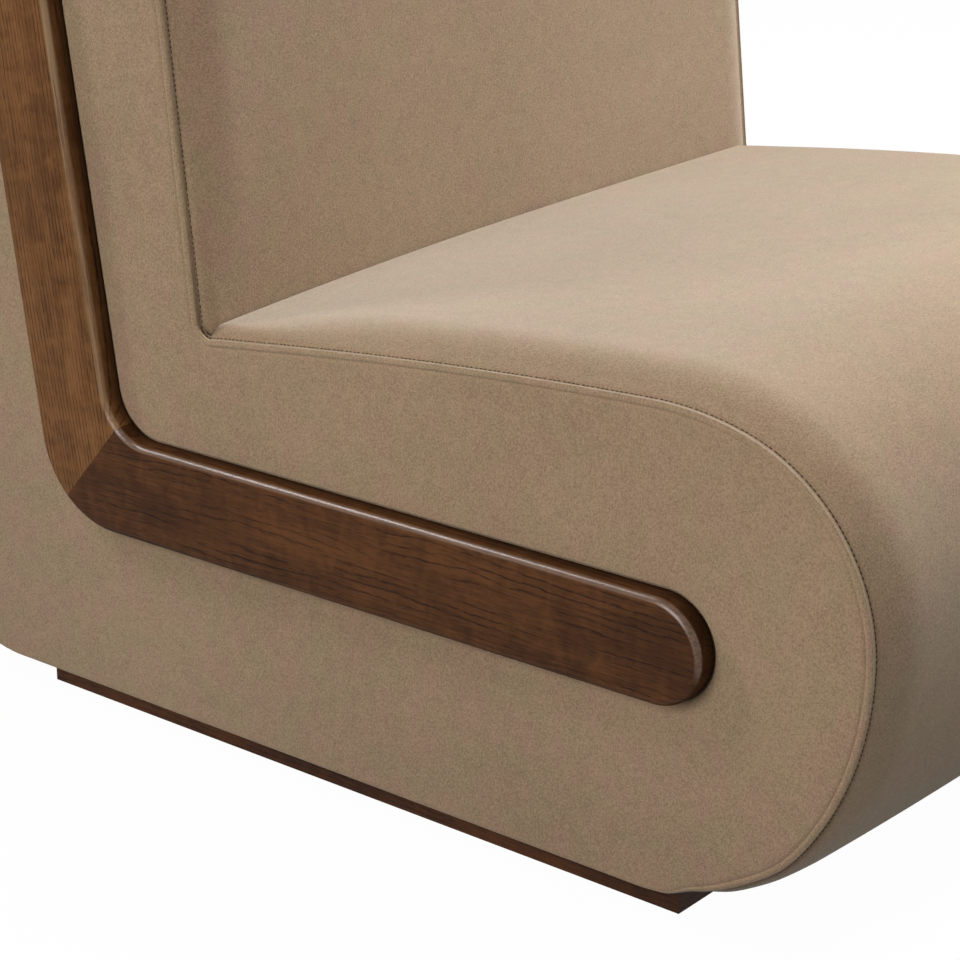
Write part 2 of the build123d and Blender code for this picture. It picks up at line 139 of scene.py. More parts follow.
@dataclass
class Outline:
    """A smooth line made of straight steps and arcs."""

    start: Vector
    heading: float
    steps: list[Step]

    def legs(self) -> list[tuple[Vector, float, Step]]:
        """Walks along the line.

        Returns:
            Start, heading and step of each stretch.
        """
        found, point, heading = [], self.start, self.heading
        for step in self.steps:
            found.append((point, heading, step))
            point, heading = go(point, heading, step)
        return found

    def places(self, counts: Sequence[int]) -> list[tuple[Vector, float]]:
        """Points along the line.

        Args:
            counts: Number of parts that each step is divided into.

        Returns:
            Point and heading at each division, with the start and the end.
        """
        found = [(self.start, self.heading)]
        for (point, heading, step), count in zip(self.legs(), counts):
            found += [go(point, heading, step, (part + 1) / count) for part in range(count)]
        return found

    def counts(self, spacing: float, turn_spacing: float = 12.0, least: float = 0.0006) -> list[int]:
        """Parts for each step so that none is longer than a spacing or turns more than some degrees.

        Args:
            spacing: Longest part.
            turn_spacing: Largest turn of a part, where the part is longer than the least length.
            least: Length that needs no division for its turn.

        Returns:
            Number of parts of each step.
        """
        found = []
        for step in self.steps:
            length = step[0] if len(step) == 1 else step[0] * radians(abs(step[1]))
            turn = 0.0 if len(step) == 1 else abs(step[1])
            found.append(max(1, ceil(length / spacing), min(ceil(turn / turn_spacing), ceil(length / least))))
        return found


@dataclass(frozen=True)
class Body:
    """Side profile and crown of the upholstered body.

    Arcs are (radius, turn). The nose's turns, in degrees from the flat underside, bound its three
    departures from the plain arcs: a flatter start, a slightly fuller round and the sag of the middle.
    """

    width: float = 0.776
    top: float = 0.834
    underside: float = 0.0255
    nose_arcs: tuple[Step, ...] = ((0.170, -49.6), (0.260, -40.4), (0.150, -75.0), (0.250, -18.0))
    seat_bow: Step = (4.450, -4.5)
    crease_from_nose: float = 0.6335
    crease_radius: float = 0.016
    crease_lip: float = 0.005
    crease_root: float = 0.0010
    crease_tuck: float = 0.014
    crease_start: float = 0.0035
    crease_reach: float = 0.013
    back_recline: float = 6.0
    rear_corner: float = 0.9535
    rear_recline: float = 8.4
    rear_radius: float = 0.100
    seam_drop: float = 0.030
    nose_crown: float = 0.012
    back_crown: float = 0.024
    rear_crown: float = 0.008
    band_width: float = 0.0066
    roll_width: float = 0.044
    roll_share: float = 0.85
    crease_roll: float = 0.012
    crease_roll_share: float = 0.42
    crease_spread: float = 0.120
    crease_step: int = 8
    seam_fade: float = 30.0
    nose_rise: float = 0.0050
    nose_rise_turns: Span = (8.0, 18.0, 30.0, 55.0)
    nose_hang: float = 0.0005
    nose_hang_turns: Span = (20.0, 45.0, 60.0, 120.0)
    nose_sag: float = 0.0205
    nose_sag_turns: Span = (0.0, 30.0, 55.0, 105.0)
    nose_y: float = -0.5194

    @property
    def half(self) -> float:
        """Half of the width between the side seams."""
        return self.width / 2

    @property
    def nose_flat(self) -> float:
        """Distance from the tip of the nose to where the underside becomes flat."""
        low, front = self.nose_arcs[0], self.nose_arcs[1]
        return low[0] * sin(radians(-low[1])) + front[0] * (1 - sin(radians(-low[1])))

    @property
    def seat_heading(self) -> float:
        """Heading of the seat where it meets the back."""
        return HALF_TURN + sum(arc[1] for arc in self.nose_arcs) + self.seat_bow[1]

    @property
    def back_heading(self) -> float:
        """Heading of the front of the back."""
        return UPWARD - self.back_recline

    @property
    def rear_heading(self) -> float:
        """Heading of the rear of the back, going down."""
        return -UPWARD - self.rear_recline

    def crowned(self, x: float, roll_width: float, roll_share: float) -> float:
        """Share of the full crown, from a round roll beside the seam and a low swell across the width.

        Args:
            x: Place across the width.
            roll_width: Width of the roll.
            roll_share: Share of the crown that the roll gives.

        Returns:
            The share, 0 at the seam and 1 in the middle.
        """
        from_band = min(max(self.half - self.band_width - abs(x), 0.0), roll_width)
        roll = 1 - (1 - from_band / roll_width) ** 2
        swell = 1 - (min(abs(x), self.half) / self.half) ** 2
        return roll_share * roll + (1 - roll_share) * swell

    def crown(self, x: float) -> float:
        """Share of the full crown at a place across the width."""
        return self.crowned(x, self.roll_width, self.roll_share)

    def crease_crown(self, x: float) -> float:
        """Share of the full crown along the crease, which is pressed flatter on the sitter's right."""
        return self.crown(x) if x > 0 else self.crowned(x, self.crease_roll, self.crease_roll_share)

    def nose_shift(self, heading: float, share: float) -> Vector:
        """Shift of the lower nose from its plain arcs.

        Args:
            heading: Heading of the outline, half a turn where the underside is flat.
            share: Share of the full crown.

        Returns:
            The shift: a flatter start, then a fuller round that sags in the middle of the width.
        """
        turn = HALF_TURN - heading
        rise = self.nose_rise * rise_and_fall(turn, self.nose_rise_turns)
        hang = self.nose_hang * rise_and_fall(turn, self.nose_hang_turns)
        sag = self.nose_sag * share * rise_and_fall(turn, self.nose_sag_turns)
        return ray(heading + UPWARD, hang - rise) - Vector((0.0, sag))

    def fold(self, x: float) -> float:
        """Share of the full fold between seat and back at a place across the width."""
        return smooth((self.half - self.crease_start - abs(x)) / self.crease_reach)

    def seam_share(self, heading: float) -> float:
        """Share of the side seam's form at a heading: it fades out towards the flat underside."""
        return smooth(min(HALF_TURN - heading, HALF_TURN + heading) / self.seam_fade)

    def crease_steps(self, turn: float, depth: float, fold: float) -> tuple[list[Step], float]:
        """Steps of the crease: a plain fillet that becomes a tucked fold between two round lips.

        Args:
            turn: Turn from the seat line to the back line.
            depth: Depth under the surface of the body.
            fold: Share of the full fold.

        Returns:
            The steps and the length that they take from each line.
        """
        slant = (HALF_TURN - turn) / 2
        lip_turn, tuck = slant * fold, self.crease_tuck * fold
        root = self.crease_radius + (self.crease_root - self.crease_radius) * sqrt(fold) + depth
        half = turn / 2 + lip_turn
        width = 2 * self.crease_lip * sin(radians(lip_turn / 2)) * sin(radians(slant - lip_turn / 2))
        width += tuck * sin(radians(slant - lip_turn))
        width += 2 * root * sin(radians(half / 2)) * sin(radians(slant - lip_turn + half / 2))
        lip = (self.crease_lip, -lip_turn)
        return [lip, (tuck,), (root, 2 * half), (tuck,), lip], width / sin(radians(slant))

    def crease_point(self) -> Vector:
        """Finds the corner of the seat line and the back line.

        Returns:
            The corner, at the side seam.
        """
        point, heading = Vector((self.nose_flat, self.underside)), HALF_TURN
        for step in (*self.nose_arcs, self.seat_bow):
            point, heading = go(point, heading, step)
        rise = (self.crease_from_nose - point.x) * tan(radians(heading))
        return Vector((self.crease_from_nose, point.y + rise))

    def round_top(self, back: Vector, rear: Vector, share: float, depth: float) -> tuple[Vector, float]:
        """Centre and radius of the round over the back.

        Args:
            back: Point on the front line of the back.
            rear: Point on the rear line.
            share: Share of the full crown.
            depth: Depth under the surface.

        Returns:
            Centre and radius.
        """
        top = self.top + (self.back_crown + self.rear_crown) / 2 * share - depth
        lean, rear_lean = tan(radians(self.back_recline)), tan(radians(self.rear_recline))
        front_y = back.x + (top - back.y) * lean
        rear_y = rear.x + (top - rear.y) * rear_lean
        slant = 1 / cos(radians(self.back_recline))
        radius = (rear_y - front_y) / (slant + 1 / cos(radians(self.rear_recline)) + rear_lean - lean)
        return Vector((front_y - radius * lean + radius * slant, top - radius)), radius

    def outline(self, depth: float = 0.0, share: float = 0.0, fold: float = 0.0) -> tuple[Outline, Outline]:
        """Lines of the main cover and of the rear cover in one slice of the body.

        Args:
            depth: Depth under the surface of the body.
            share: Share of the full crown.
            fold: Share of the full fold between seat and back.

        Returns:
            The line from under the nose to the rear seam, and the line from there to the underside.
        """
        grow = self.nose_crown * share - depth
        start = Vector((self.nose_flat, self.underside + depth))
        nose = [(radius + grow, turn) for radius, turn in self.nose_arcs]
        bow = (self.seat_bow[0] + grow, self.seat_bow[1])
        point, heading = start, HALF_TURN
        for step in [*nose, bow]:
            point, heading = go(point, heading, step)
        back = self.crease_point() + ray(self.back_heading + UPWARD, self.back_crown * share - depth)
        crease = meet(point, heading, back, self.back_heading)
        crease_steps, reach = self.crease_steps(self.back_heading - self.seat_heading, depth, fold)
        rear = Vector((self.rear_corner, self.underside))
        rear += ray(-self.rear_recline, self.rear_crown * share - depth)
        centre, radius = self.round_top(back, rear, share, depth)
        top_front = centre + ray(self.back_heading + UPWARD, radius)
        half_turn = (self.rear_heading - self.back_heading) / 2
        steps = nose + [bow, ((crease - point).length - reach,), *crease_steps,
                        ((top_front - crease).length - reach,), (radius, half_turn), (radius, half_turn),
                        (self.seam_drop,)]
        main = Outline(start, HALF_TURN, steps)
        seam = centre + ray(-self.rear_recline, radius) + ray(self.rear_heading, self.seam_drop)
        corner = meet(rear, self.rear_heading, start, HALF_TURN)
        flat = self.rear_corner - tangent_length(self.rear_radius, self.rear_heading + HALF_TURN)
        low_reach = corner.x - flat
        low_turn = -HALF_TURN - self.rear_heading
        low_radius = low_reach / tan(radians(abs(low_turn)) / 2)
        drop = (corner - seam).length - low_reach
        return main, Outline(seam, self.rear_heading, [(drop,), (low_radius, low_turn)])

    def line(self, part: int, depths: tuple[float, float], counts: Sequence[int],
             x: float | None = None) -> list[tuple[Vector, float]]:
        """Places along a line of the dressed body in one slice.

        Args:
            part: 0 for the line of the main cover, 1 for the rear cover's.
            depths: Depth along the seam and depth at the flat underside.
            counts: Number of parts that each step is divided into.
            x: Place across the width, or nothing for the plain side profile.

        Returns:
            Point and share of the seam's form at each division.
        """
        share, pressed, fold = 0.0, 0.0, 0.0
        if x is not None:
            share, pressed, fold = self.crown(x), self.crease_crown(x), self.fold(x)
        high, low, tight = (self.outline(depth, crown, fold)[part].places(counts) for depth, crown in
                            ((depths[0], share), (depths[1], share), (depths[0], pressed)))
        nearness = [0.0] * len(high)
        if part == 0:
            nearness = self.crease_nearness([point for point, _ in high], counts)
        found = []
        for (first, heading), (second, _), (third, _), near in zip(high, low, tight, nearness):
            seam = self.seam_share(heading)
            point = second.lerp(first, seam).lerp(third, near)
            found.append((point + self.nose_shift(heading, pressed), seam))
        return found

    def crease_nearness(self, points: Sequence[Vector], counts: Sequence[int]) -> list[float]:
        """Tells how near each point of the main cover's line is to the crease.

        Args:
            points: Points of the line.
            counts: Number of parts that each step is divided into.

        Returns:
            Nearness of each point, from 0 to 1.
        """
        middle = sum(counts[:self.crease_step]) + counts[self.crease_step] // 2
        travelled = [0.0]
        for start, end in zip(points, points[1:]):
            travelled.append(travelled[-1] + (end - start).length)
        return [exp(-((length - travelled[middle]) / self.crease_spread) ** 2) for length in travelled]

    def place(self, x: float, point: Vector) -> Vector:
        """Point of the side plane at a place across the width, in the frame."""
        return Vector((x, self.nose_y + point.x, point.y))


def grid_mesh(rows: int, columns: int, place: Callable[[int, int], Vector]) -> bmesh.types.BMesh:
    """Lays a grid over a surface, joined where its points fall together.

    Args:
        rows: Number of steps along the surface.
        columns: Number of steps across it.
        place: Gives the point for a row and a column.

    Returns:
        The grid, in a bmesh of its own.
    """
    mesh = bmesh.new()
    bmesh.ops.create_grid(mesh, x_segments=columns, y_segments=rows, size=0.5)
    for vertex in mesh.verts:
        column = round((vertex.co.x + 0.5) * columns)
        row = round((vertex.co.y + 0.5) * rows)
        vertex.co = place(row, column)
    bmesh.ops.remove_doubles(mesh, verts=mesh.verts, dist=MERGE_DISTANCE)
    return mesh


def add_piece(name: str, mesh: bmesh.types.BMesh, material: bpy.types.Material) -> bpy.types.Object:
    """Makes a piece of the chair from a bmesh.

    Args:
        name: Name of the piece.
        mesh: Its shape, which is freed.
        material: Its finish.

    Returns:
        The new object, riding on the chair's one body.
    """
    data = bpy.data.meshes.new(name)
    for face in mesh.faces:
        face.smooth = True
    mesh.to_mesh(data)
    mesh.free()
    data.materials.append(material)
    piece = bpy.data.objects.new(name, data)
    bpy.context.scene.collection.objects.link(piece)
    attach(piece, "root")
    log.info("%s: %d faces", name, len(data.polygons))
    return piece


class Shader:
    """A material's node tree, built up one node at a time."""

    def __init__(self, name: str) -> None:
        """Starts a material with an empty tree.

        Args:
            name: Name of the material.
        """
        self.material = bpy.data.materials.new(name)
        self.material.use_nodes = True
        self.tree = self.material.node_tree
        self.tree.nodes.clear()
        self.surface = self.add("ShaderNodeBsdfPrincipled")
        self.output = self.add("ShaderNodeOutputMaterial")
        self.tree.links.new(self.surface.outputs[0], self.output.inputs[0])

    def add(self, kind: str, settings: dict[str, object] | None = None, **inputs: object) -> bpy.types.Node:
        """Adds a node.

        Args:
            kind: Type name of the node.
            settings: Properties to set on it.
            **inputs: Values or sockets for its inputs, by name with _ for each space.

        Returns:
            The node.
        """
        node = self.tree.nodes.new(kind)
        for key, value in (settings or {}).items():
            setattr(node, key, value)
        for key, value in inputs.items():
            self.feed(node, key.replace("_", " "), value)
        return node

    def feed(self, node: bpy.types.Node, name: str, value: object) -> None:
        """Sets an input of a node, or links a socket to it.

        Args:
            node: The node.
            name: Name of its input.
            value: Value or socket.
        """
        socket = node.inputs[name]
        if isinstance(value, bpy.types.NodeSocket):
            self.tree.links.new(value, socket)
        else:
            socket.default_value = value

    def maths(self, operation: str, *values: object) -> bpy.types.NodeSocket:
        """Adds a maths node.

        Args:
            operation: What it does.
            *values: Its values or sockets.

        Returns:
            Its result.
        """
        node = self.add("ShaderNodeMath", {"operation": operation})
        for index, value in enumerate(values):
            if isinstance(value, bpy.types.NodeSocket):
                self.tree.links.new(value, node.inputs[index])
            else:
                node.inputs[index].default_value = value
        return node.outputs[0]

    def total(self, *parts: tuple[bpy.types.NodeSocket, float]) -> bpy.types.NodeSocket:
        """Adds values up.

        Args:
            *parts: Each value with its weight.

        Returns:
            Their weighted sum.
        """
        found = None
        for value, weight in parts:
            share = self.maths("MULTIPLY", value, weight)
            found = share if found is None else self.maths("ADD", found, share)
        return found

    def place(self, turn: Sequence[float] = (0, 0, 0),
              shift: Sequence[float] = (0, 0, 0)) -> bpy.types.NodeSocket:
        """Reads the Object coordinates.

        Args:
            turn: Rotation about each axis.
            shift: Shift along each axis.

        Returns:
            The coordinates, turned and shifted.
        """
        source = self.add("ShaderNodeTexCoord")
        return self.add("ShaderNodeMapping", Vector=source.outputs["Object"], Rotation=turn,
                        Location=shift).outputs[0]

    def stretch(self, vector: bpy.types.NodeSocket, scale: Sequence[float]) -> bpy.types.NodeSocket:
        """Scales coordinates.

        Args:
            vector: The coordinates.
            scale: Factor on each axis.

        Returns:
            The scaled coordinates.
        """
        node = self.add("ShaderNodeVectorMath", {"operation": "MULTIPLY"})
        self.tree.links.new(vector, node.inputs[0])
        node.inputs[1].default_value = scale
        return node.outputs[0]

    def cloud(self, vector: bpy.types.NodeSocket, scale: float, detail: float = 2.0,
              roughness: float = 0.5, distortion: float = 0.0) -> bpy.types.NodeSocket:
        """Value of a noise."""
        return self.add("ShaderNodeTexNoise", Vector=vector, Scale=scale, Detail=detail,
                        Roughness=roughness, Distortion=distortion).outputs[0]

    def span(self, value: bpy.types.NodeSocket, low: float, high: float, to_low: float = 0.0,
             to_high: float = 1.0) -> bpy.types.NodeSocket:
        """Maps a value from one range to another, eased at the ends.

        Args:
            value: The value.
            low: Start of its range.
            high: End of its range.
            to_low: Result at the start.
            to_high: Result at the end.

        Returns:
            The mapped value.
        """
        node = self.add("ShaderNodeMapRange", {"interpolation_type": "SMOOTHSTEP"}, Value=value)
        for index, bound in enumerate((low, high, to_low, to_high)):
            node.inputs[index + 1].default_value = bound
        return node.outputs[0]

    def blend(self, share: object, first: object, second: object,
              mode: str = "MIX") -> bpy.types.NodeSocket:
        """Mixes two colours.

        Args:
            share: Share of the second one.
            first: First colour.
            second: Second colour.
            mode: How they are mixed.

        Returns:
            The mixed colour.
        """
        node = self.add("ShaderNodeMix", {"data_type": "RGBA", "blend_type": mode})
        for socket, value in ((node.inputs[0], share), (node.inputs[6], first), (node.inputs[7], second)):
            if isinstance(value, bpy.types.NodeSocket):
                self.tree.links.new(value, socket)
            else:
                socket.default_value = (*value, 1.0) if isinstance(value, tuple) else value
        return node.outputs[2]

    def bump(self, height: bpy.types.NodeSocket, distance: float, strength: float = 1.0,
             normal: bpy.types.NodeSocket | None = None) -> bpy.types.NodeSocket:
        """Bumps a surface.

        Args:
            height: Height of the pattern, from 0 to 1.
            distance: Real height of 1.
            strength: Share of the effect.
            normal: Normal that the bump is added to.

        Returns:
            The bumped normal.
        """
        node = self.add("ShaderNodeBump", Height=height, Distance=distance, Strength=strength)
        if normal is not None:
            self.tree.links.new(normal, node.inputs["Normal"])
        return node.outputs[0]


@dataclass(frozen=True)
class Velvet:
    """Short pile fabric with a fine mottled grain and faint broad patches.

    Scales are those of the noises, from the broadest to the finest. The tone is the weighted sum of
    patches, mottle, grain and fibres, and the hue that of fine specks and broad tints.
    """

    name: str = "velvet"
    deep: Colour = (0.212, 0.139, 0.083)
    light: Colour = (0.430, 0.300, 0.190)
    pink: Colour = (1.025, 0.983, 1.005)
    olive: Colour = (0.978, 1.012, 0.965)
    patch_scale: float = 4.0
    hue_scale: float = 28.0
    mottle_scale: float = 70.0
    speck_scale: float = 512.0
    grain_scale: float = 640.0
    fibre_scale: float = 1500.0
    tone_weights: Span = (0.12, 0.10, 0.45, 0.33)
    tone_range: tuple[float, float] = (0.30, 0.70)
    hue_weights: tuple[float, float] = (0.35, 0.65)
    hue_range: tuple[float, float] = (0.42, 0.58)
    roughness: float = 0.9
    specular: float = 0.02
    sheen: float = 0.35
    sheen_roughness: float = 0.5
    sheen_tint: Colour = (0.93, 1.0, 0.97)
    mottle_height: float = 0.0010
    mottle_strength: float = 0.06
    fibre_height: float = 0.0003
    fibre_strength: float = 0.5

    def build(self) -> bpy.types.Material:
        """Makes the material.

        Returns:
            The material.
        """
        shader = Shader(self.name)
        place = shader.place()
        patches = shader.cloud(place, self.patch_scale, 2.0, 0.5, 0.3)
        mottle = shader.cloud(place, self.mottle_scale, 3.0, 0.6, 0.2)
        grain = shader.cloud(place, self.grain_scale, 2.0, 0.6)
        fibres = shader.cloud(place, self.fibre_scale, 1.0, 0.5)
        tone = shader.total(*zip((patches, mottle, grain, fibres), self.tone_weights))
        colour = shader.blend(shader.span(tone, *self.tone_range), self.deep, self.light)
        specks = shader.cloud(place, self.speck_scale, 2.0)
        tints = shader.cloud(place, self.hue_scale, 2.0, 0.5, 0.4)
        hue_share = shader.span(shader.total(*zip((specks, tints), self.hue_weights)), *self.hue_range)
        hue = shader.blend(hue_share, self.pink, self.olive)
        shader.feed(shader.surface, "Base Color", shader.blend(1.0, colour, hue, "MULTIPLY"))
        shader.feed(shader.surface, "Roughness", self.roughness)
        shader.feed(shader.surface, "Specular IOR Level", self.specular)
        shader.feed(shader.surface, "Sheen Weight", self.sheen)
        shader.feed(shader.surface, "Sheen Roughness", self.sheen_roughness)
        shader.feed(shader.surface, "Sheen Tint", (*self.sheen_tint, 1.0))
        soft = shader.bump(mottle, self.mottle_height, self.mottle_strength)
        shader.feed(shader.surface, "Normal",
                    shader.bump(grain, self.fibre_height, self.fibre_strength, soft))
        return shader.material


@dataclass(frozen=True)
class Figure:
    """Noise in wood: how often it changes along each axis, with the grain along the second."""

    scale: tuple[float, float, float]
    detail: float = 2.0
    roughness: float = 0.5
    distortion: float = 0.0

    def build(self, shader: Shader, place: bpy.types.NodeSocket) -> bpy.types.NodeSocket:
        """Value of the noise at some coordinates."""
        return shader.cloud(shader.stretch(place, self.scale), 1.0, self.detail, self.roughness,
                            self.distortion)


LINE_BEND = Figure((9.0, 1.9, 9.0), roughness=0.45)
LINE_WOBBLE = Figure((70.0, 26.0, 70.0), detail=3.0, roughness=0.55)
LINE_STRENGTH = Figure((55.0, 11.0, 55.0))
LINE_BREAKS = Figure((420.0, 90.0, 420.0), roughness=0.6)
FLAME = Figure((26.0, 5.0, 26.0), detail=3.0, roughness=0.55, distortion=0.4)
CROSS_FIGURE = Figure((34.0, 60.0, 34.0), distortion=0.6)
STREAKS = Figure((480.0, 14.0, 480.0), detail=3.0, roughness=0.6)
PORES = Figure((1300.0, 85.0, 1300.0), roughness=0.6)


@dataclass(frozen=True)
class Stain:
    """Colours of a wood: its ground, its darker figure, and its lines and pores."""

    light: Colour
    deep: Colour
    # Also the colour of the painted shade on a strip's sides.
    line: Colour


SEAT_STRIP_STAIN = Stain((0.122, 0.047, 0.0150), (0.053, 0.019, 0.0055), (0.012, 0.0045, 0.002))
BACK_STRIP_STAIN = Stain((0.222, 0.100, 0.035), (0.105, 0.041, 0.012), (0.030, 0.012, 0.004))
PLINTH_STAIN = Stain((0.105, 0.036, 0.011), (0.048, 0.017, 0.006), (0.014, 0.005, 0.003))
BARE_PLY = Stain((0.58, 0.40, 0.22), (0.46, 0.30, 0.15), (0.28, 0.17, 0.09))
BARE_PINE = Stain((0.66, 0.48, 0.27), (0.54, 0.36, 0.18), (0.33, 0.20, 0.10))


@dataclass(frozen=True)
class Wood:
    """Open-grained wood: broken dark growth lines, soft figure across them, and fine pores.

    Given an arris colour, the wood is lighter and glossier along the arris on its lit side, partly from wear
    and partly as a painted highlight, and painted shade darkens its sides towards the fabric. The arris
    and the painted shade are bounded by distances from the middle plane.
    """

    name: str
    stain: Stain
    turn: tuple[float, float, float] = (0.0, 0.0, 0.0)
    shift: tuple[float, float, float] = (0.0, 0.0, 0.0)
    ring_pitch: float = 0.0060
    ring_slant: float = 0.4
    ring_wander: float = 13.0
    ring_wobble: float = 1.3
    line_range: tuple[float, float] = (0.30, 0.5)
    line_weight: float = 0.85
    faint_range: tuple[float, float] = (0.36, 0.62)
    faint_line: float = 0.12
    break_range: tuple[float, float] = (0.36, 0.56)
    broken_line: float = 0.35
    tone_weights: tuple[float, float, float] = (0.45, 0.25, 0.30)
    tone_range: tuple[float, float] = (0.36, 0.64)
    pore_range: tuple[float, float] = (0.53, 0.66)
    pore_tone_share: Span = (0.35, 0.6, 0.5, 1.0)
    pore_weight: float = 0.55
    pore_depth: float = 0.0002
    pore_strength: float = 0.4
    streak_depth: float = 0.00015
    streak_strength: float = 0.25
    roughness: float = 0.42
    roughness_range: tuple[float, float] = (0.2, 0.8)
    smoother: float = 0.05
    rougher: float = 0.08
    gloss: float = 0.0
    coat: float = 0.2
    coat_roughness: float = 0.27
    # Lighter arris colour on the lit side, partly wear and partly a painted highlight, with the facing and
    # streaks that bound it; giving it also turns on the painted shade of the sides.
    worn_and_highlit: Colour | None = None
    lit_side: tuple[float, float, float] = (0.0, 0.0, 1.0)
    lit_facing: tuple[float, float] = (0.0, 0.4)
    wear_and_highlight_streaks: Span = (0.38, 0.62, 0.15, 0.85)
    arris: Span = (0.4010, 0.4035, 0.4062, 0.4069)
    arris_coat: float = 1.0
    # Painted shade: the strip's sides darken towards the fabric, into the line colour.
    painted_shade_range: tuple[float, float] = (0.386, 0.4025)
    shade: float = 0.85

    def rings(self, shader: Shader, place: bpy.types.NodeSocket) -> bpy.types.NodeSocket:
        """Dark growth lines that run along the second axis, thin and broken here and there.

        Args:
            shader: The material's tree.
            place: Coordinates with the grain along their second axis.

        Returns:
            Darkness of the lines, from 0 to 1.
        """
        bend, wobble = LINE_BEND.build(shader, place), LINE_WOBBLE.build(shader, place)
        parts = shader.add("ShaderNodeSeparateXYZ", Vector=place)
        level = shader.total((parts.outputs[2], 1 / self.ring_pitch),
                             (parts.outputs[0], self.ring_slant / self.ring_pitch),
                             (bend, self.ring_wander), (wobble, self.ring_wobble))
        lines = shader.span(shader.maths("PINGPONG", level, 0.5), *self.line_range)
        strength = shader.span(LINE_STRENGTH.build(shader, place), *self.faint_range, self.faint_line, 1.0)
        breaks = shader.span(LINE_BREAKS.build(shader, place), *self.break_range, self.broken_line, 1.0)
        return shader.maths("MULTIPLY", shader.maths("MULTIPLY", lines, strength), breaks)

    def outward(self, shader: Shader) -> bpy.types.NodeSocket:
        """Distance from the middle plane of the chair."""
        across = shader.add("ShaderNodeSeparateXYZ", Vector=shader.place()).outputs[0]
        return shader.maths("ABSOLUTE", across)

    def edge(self, shader: Shader) -> bpy.types.NodeSocket:
        """Finds the rounded arris between the strip's face and the side that faces the light, where the arris
        colour is partly wear and partly a painted highlight.

        Args:
            shader: The material's tree.

        Returns:
            Share of the arris, from 0 to 1.
        """
        out = self.outward(shader)
        rise = shader.span(out, self.arris[0], self.arris[1])
        fall = shader.span(out, self.arris[2], self.arris[3], 1.0, 0.0)
        source = shader.add("ShaderNodeTexCoord")
        facing = shader.add("ShaderNodeVectorMath", {"operation": "DOT_PRODUCT"})
        shader.tree.links.new(source.outputs["Normal"], facing.inputs[0])
        facing.inputs[1].default_value = self.lit_side
        share = shader.maths("MULTIPLY", rise, fall)
        return shader.maths("MULTIPLY", share, shader.span(facing.outputs["Value"], *self.lit_facing))

    def build(self) -> bpy.types.Material:
        """Makes the material.

        Returns:
            The material.
        """
        shader = Shader(self.name)
        place = shader.place(self.turn, self.shift)
        line = self.stain.line
        lines = self.rings(shader, place)
        flame, figure, streaks, pores = (noise.build(shader, place)
                                         for noise in (FLAME, CROSS_FIGURE, STREAKS, PORES))
        tone = shader.total(*zip((flame, figure, streaks), self.tone_weights))
        colour = shader.blend(shader.span(tone, *self.tone_range), self.stain.light, self.stain.deep)
        colour = shader.blend(shader.maths("MULTIPLY", lines, self.line_weight), colour, line)
        pore_mask = shader.maths("MULTIPLY", shader.span(pores, *self.pore_range),
                                 shader.span(tone, *self.pore_tone_share))
        colour = shader.blend(shader.maths("MULTIPLY", pore_mask, self.pore_weight), colour, line)
        coat = self.coat
        if self.worn_and_highlit:
            edge = self.edge(shader)
            # Lighter colour on the lit arris: partly wear, partly a painted highlight.
            wear_and_highlight_share = shader.maths("MULTIPLY", edge, shader.span(streaks, *self.wear_and_highlight_streaks))
            colour = shader.blend(wear_and_highlight_share, colour, self.worn_and_highlit)
            # Painted shade on the sides, darker towards the fabric.
            shade = shader.span(self.outward(shader), *self.painted_shade_range, self.shade, 0.0)
            colour = shader.blend(shade, colour, line)
            coat = shader.span(edge, 0.0, 1.0, self.coat, self.arris_coat)
        shader.feed(shader.surface, "Base Color", colour)
        shader.feed(shader.surface, "Roughness",
                    shader.span(streaks, *self.roughness_range, self.roughness - self.smoother,
                                self.roughness + self.rougher))
        shader.feed(shader.surface, "Specular IOR Level", self.gloss)
        shader.feed(shader.surface, "Coat Weight", coat)
        shader.feed(shader.surface, "Coat Roughness", self.coat_roughness)
        deep = shader.bump(shader.maths("SUBTRACT", 1.0, pore_mask), self.pore_depth, self.pore_strength)
        shader.feed(shader.surface, "Normal",
                    shader.bump(streaks, self.streak_depth, self.streak_strength, deep))
        return shader.material


@dataclass(frozen=True)
class Cloth:
    """Plain woven cloth with threads both ways, a little paler in broad patches of wear."""

    name: str
    colour: Colour
    thread_pitch: float = 0.0011
    waves_per_unit: float = 20.0
    waver: float = 0.4
    wear_scale: float = 9.0
    wear_range: tuple[float, float] = (0.3, 0.7)
    wear_gain: float = 1.5
    wear_lift: float = 0.01
    roughness: float = 0.9
    thread_height: float = 0.0002
    thread_strength: float = 0.6

    def build(self) -> bpy.types.Material:
        """Makes the material.

        Returns:
            The material.
        """
        shader = Shader(self.name)
        place = shader.place()
        weave, cross = (shader.add("ShaderNodeTexWave", {"bands_direction": axis}, Vector=place,
                                   Scale=1 / self.thread_pitch / self.waves_per_unit,
                                   Distortion=self.waver).outputs[1] for axis in "XY")
        height = shader.maths("ADD", weave, cross)
        wear = shader.cloud(place, self.wear_scale, 3.0)
        pale = tuple(min(1.0, part * self.wear_gain + self.wear_lift) for part in self.colour)
        shader.feed(shader.surface, "Base Color",
                    shader.blend(shader.span(wear, *self.wear_range), self.colour, pale))
        shader.feed(shader.surface, "Roughness", self.roughness)
        shader.feed(shader.surface, "Normal",
                    shader.bump(height, self.thread_height, self.thread_strength))
        return shader.material


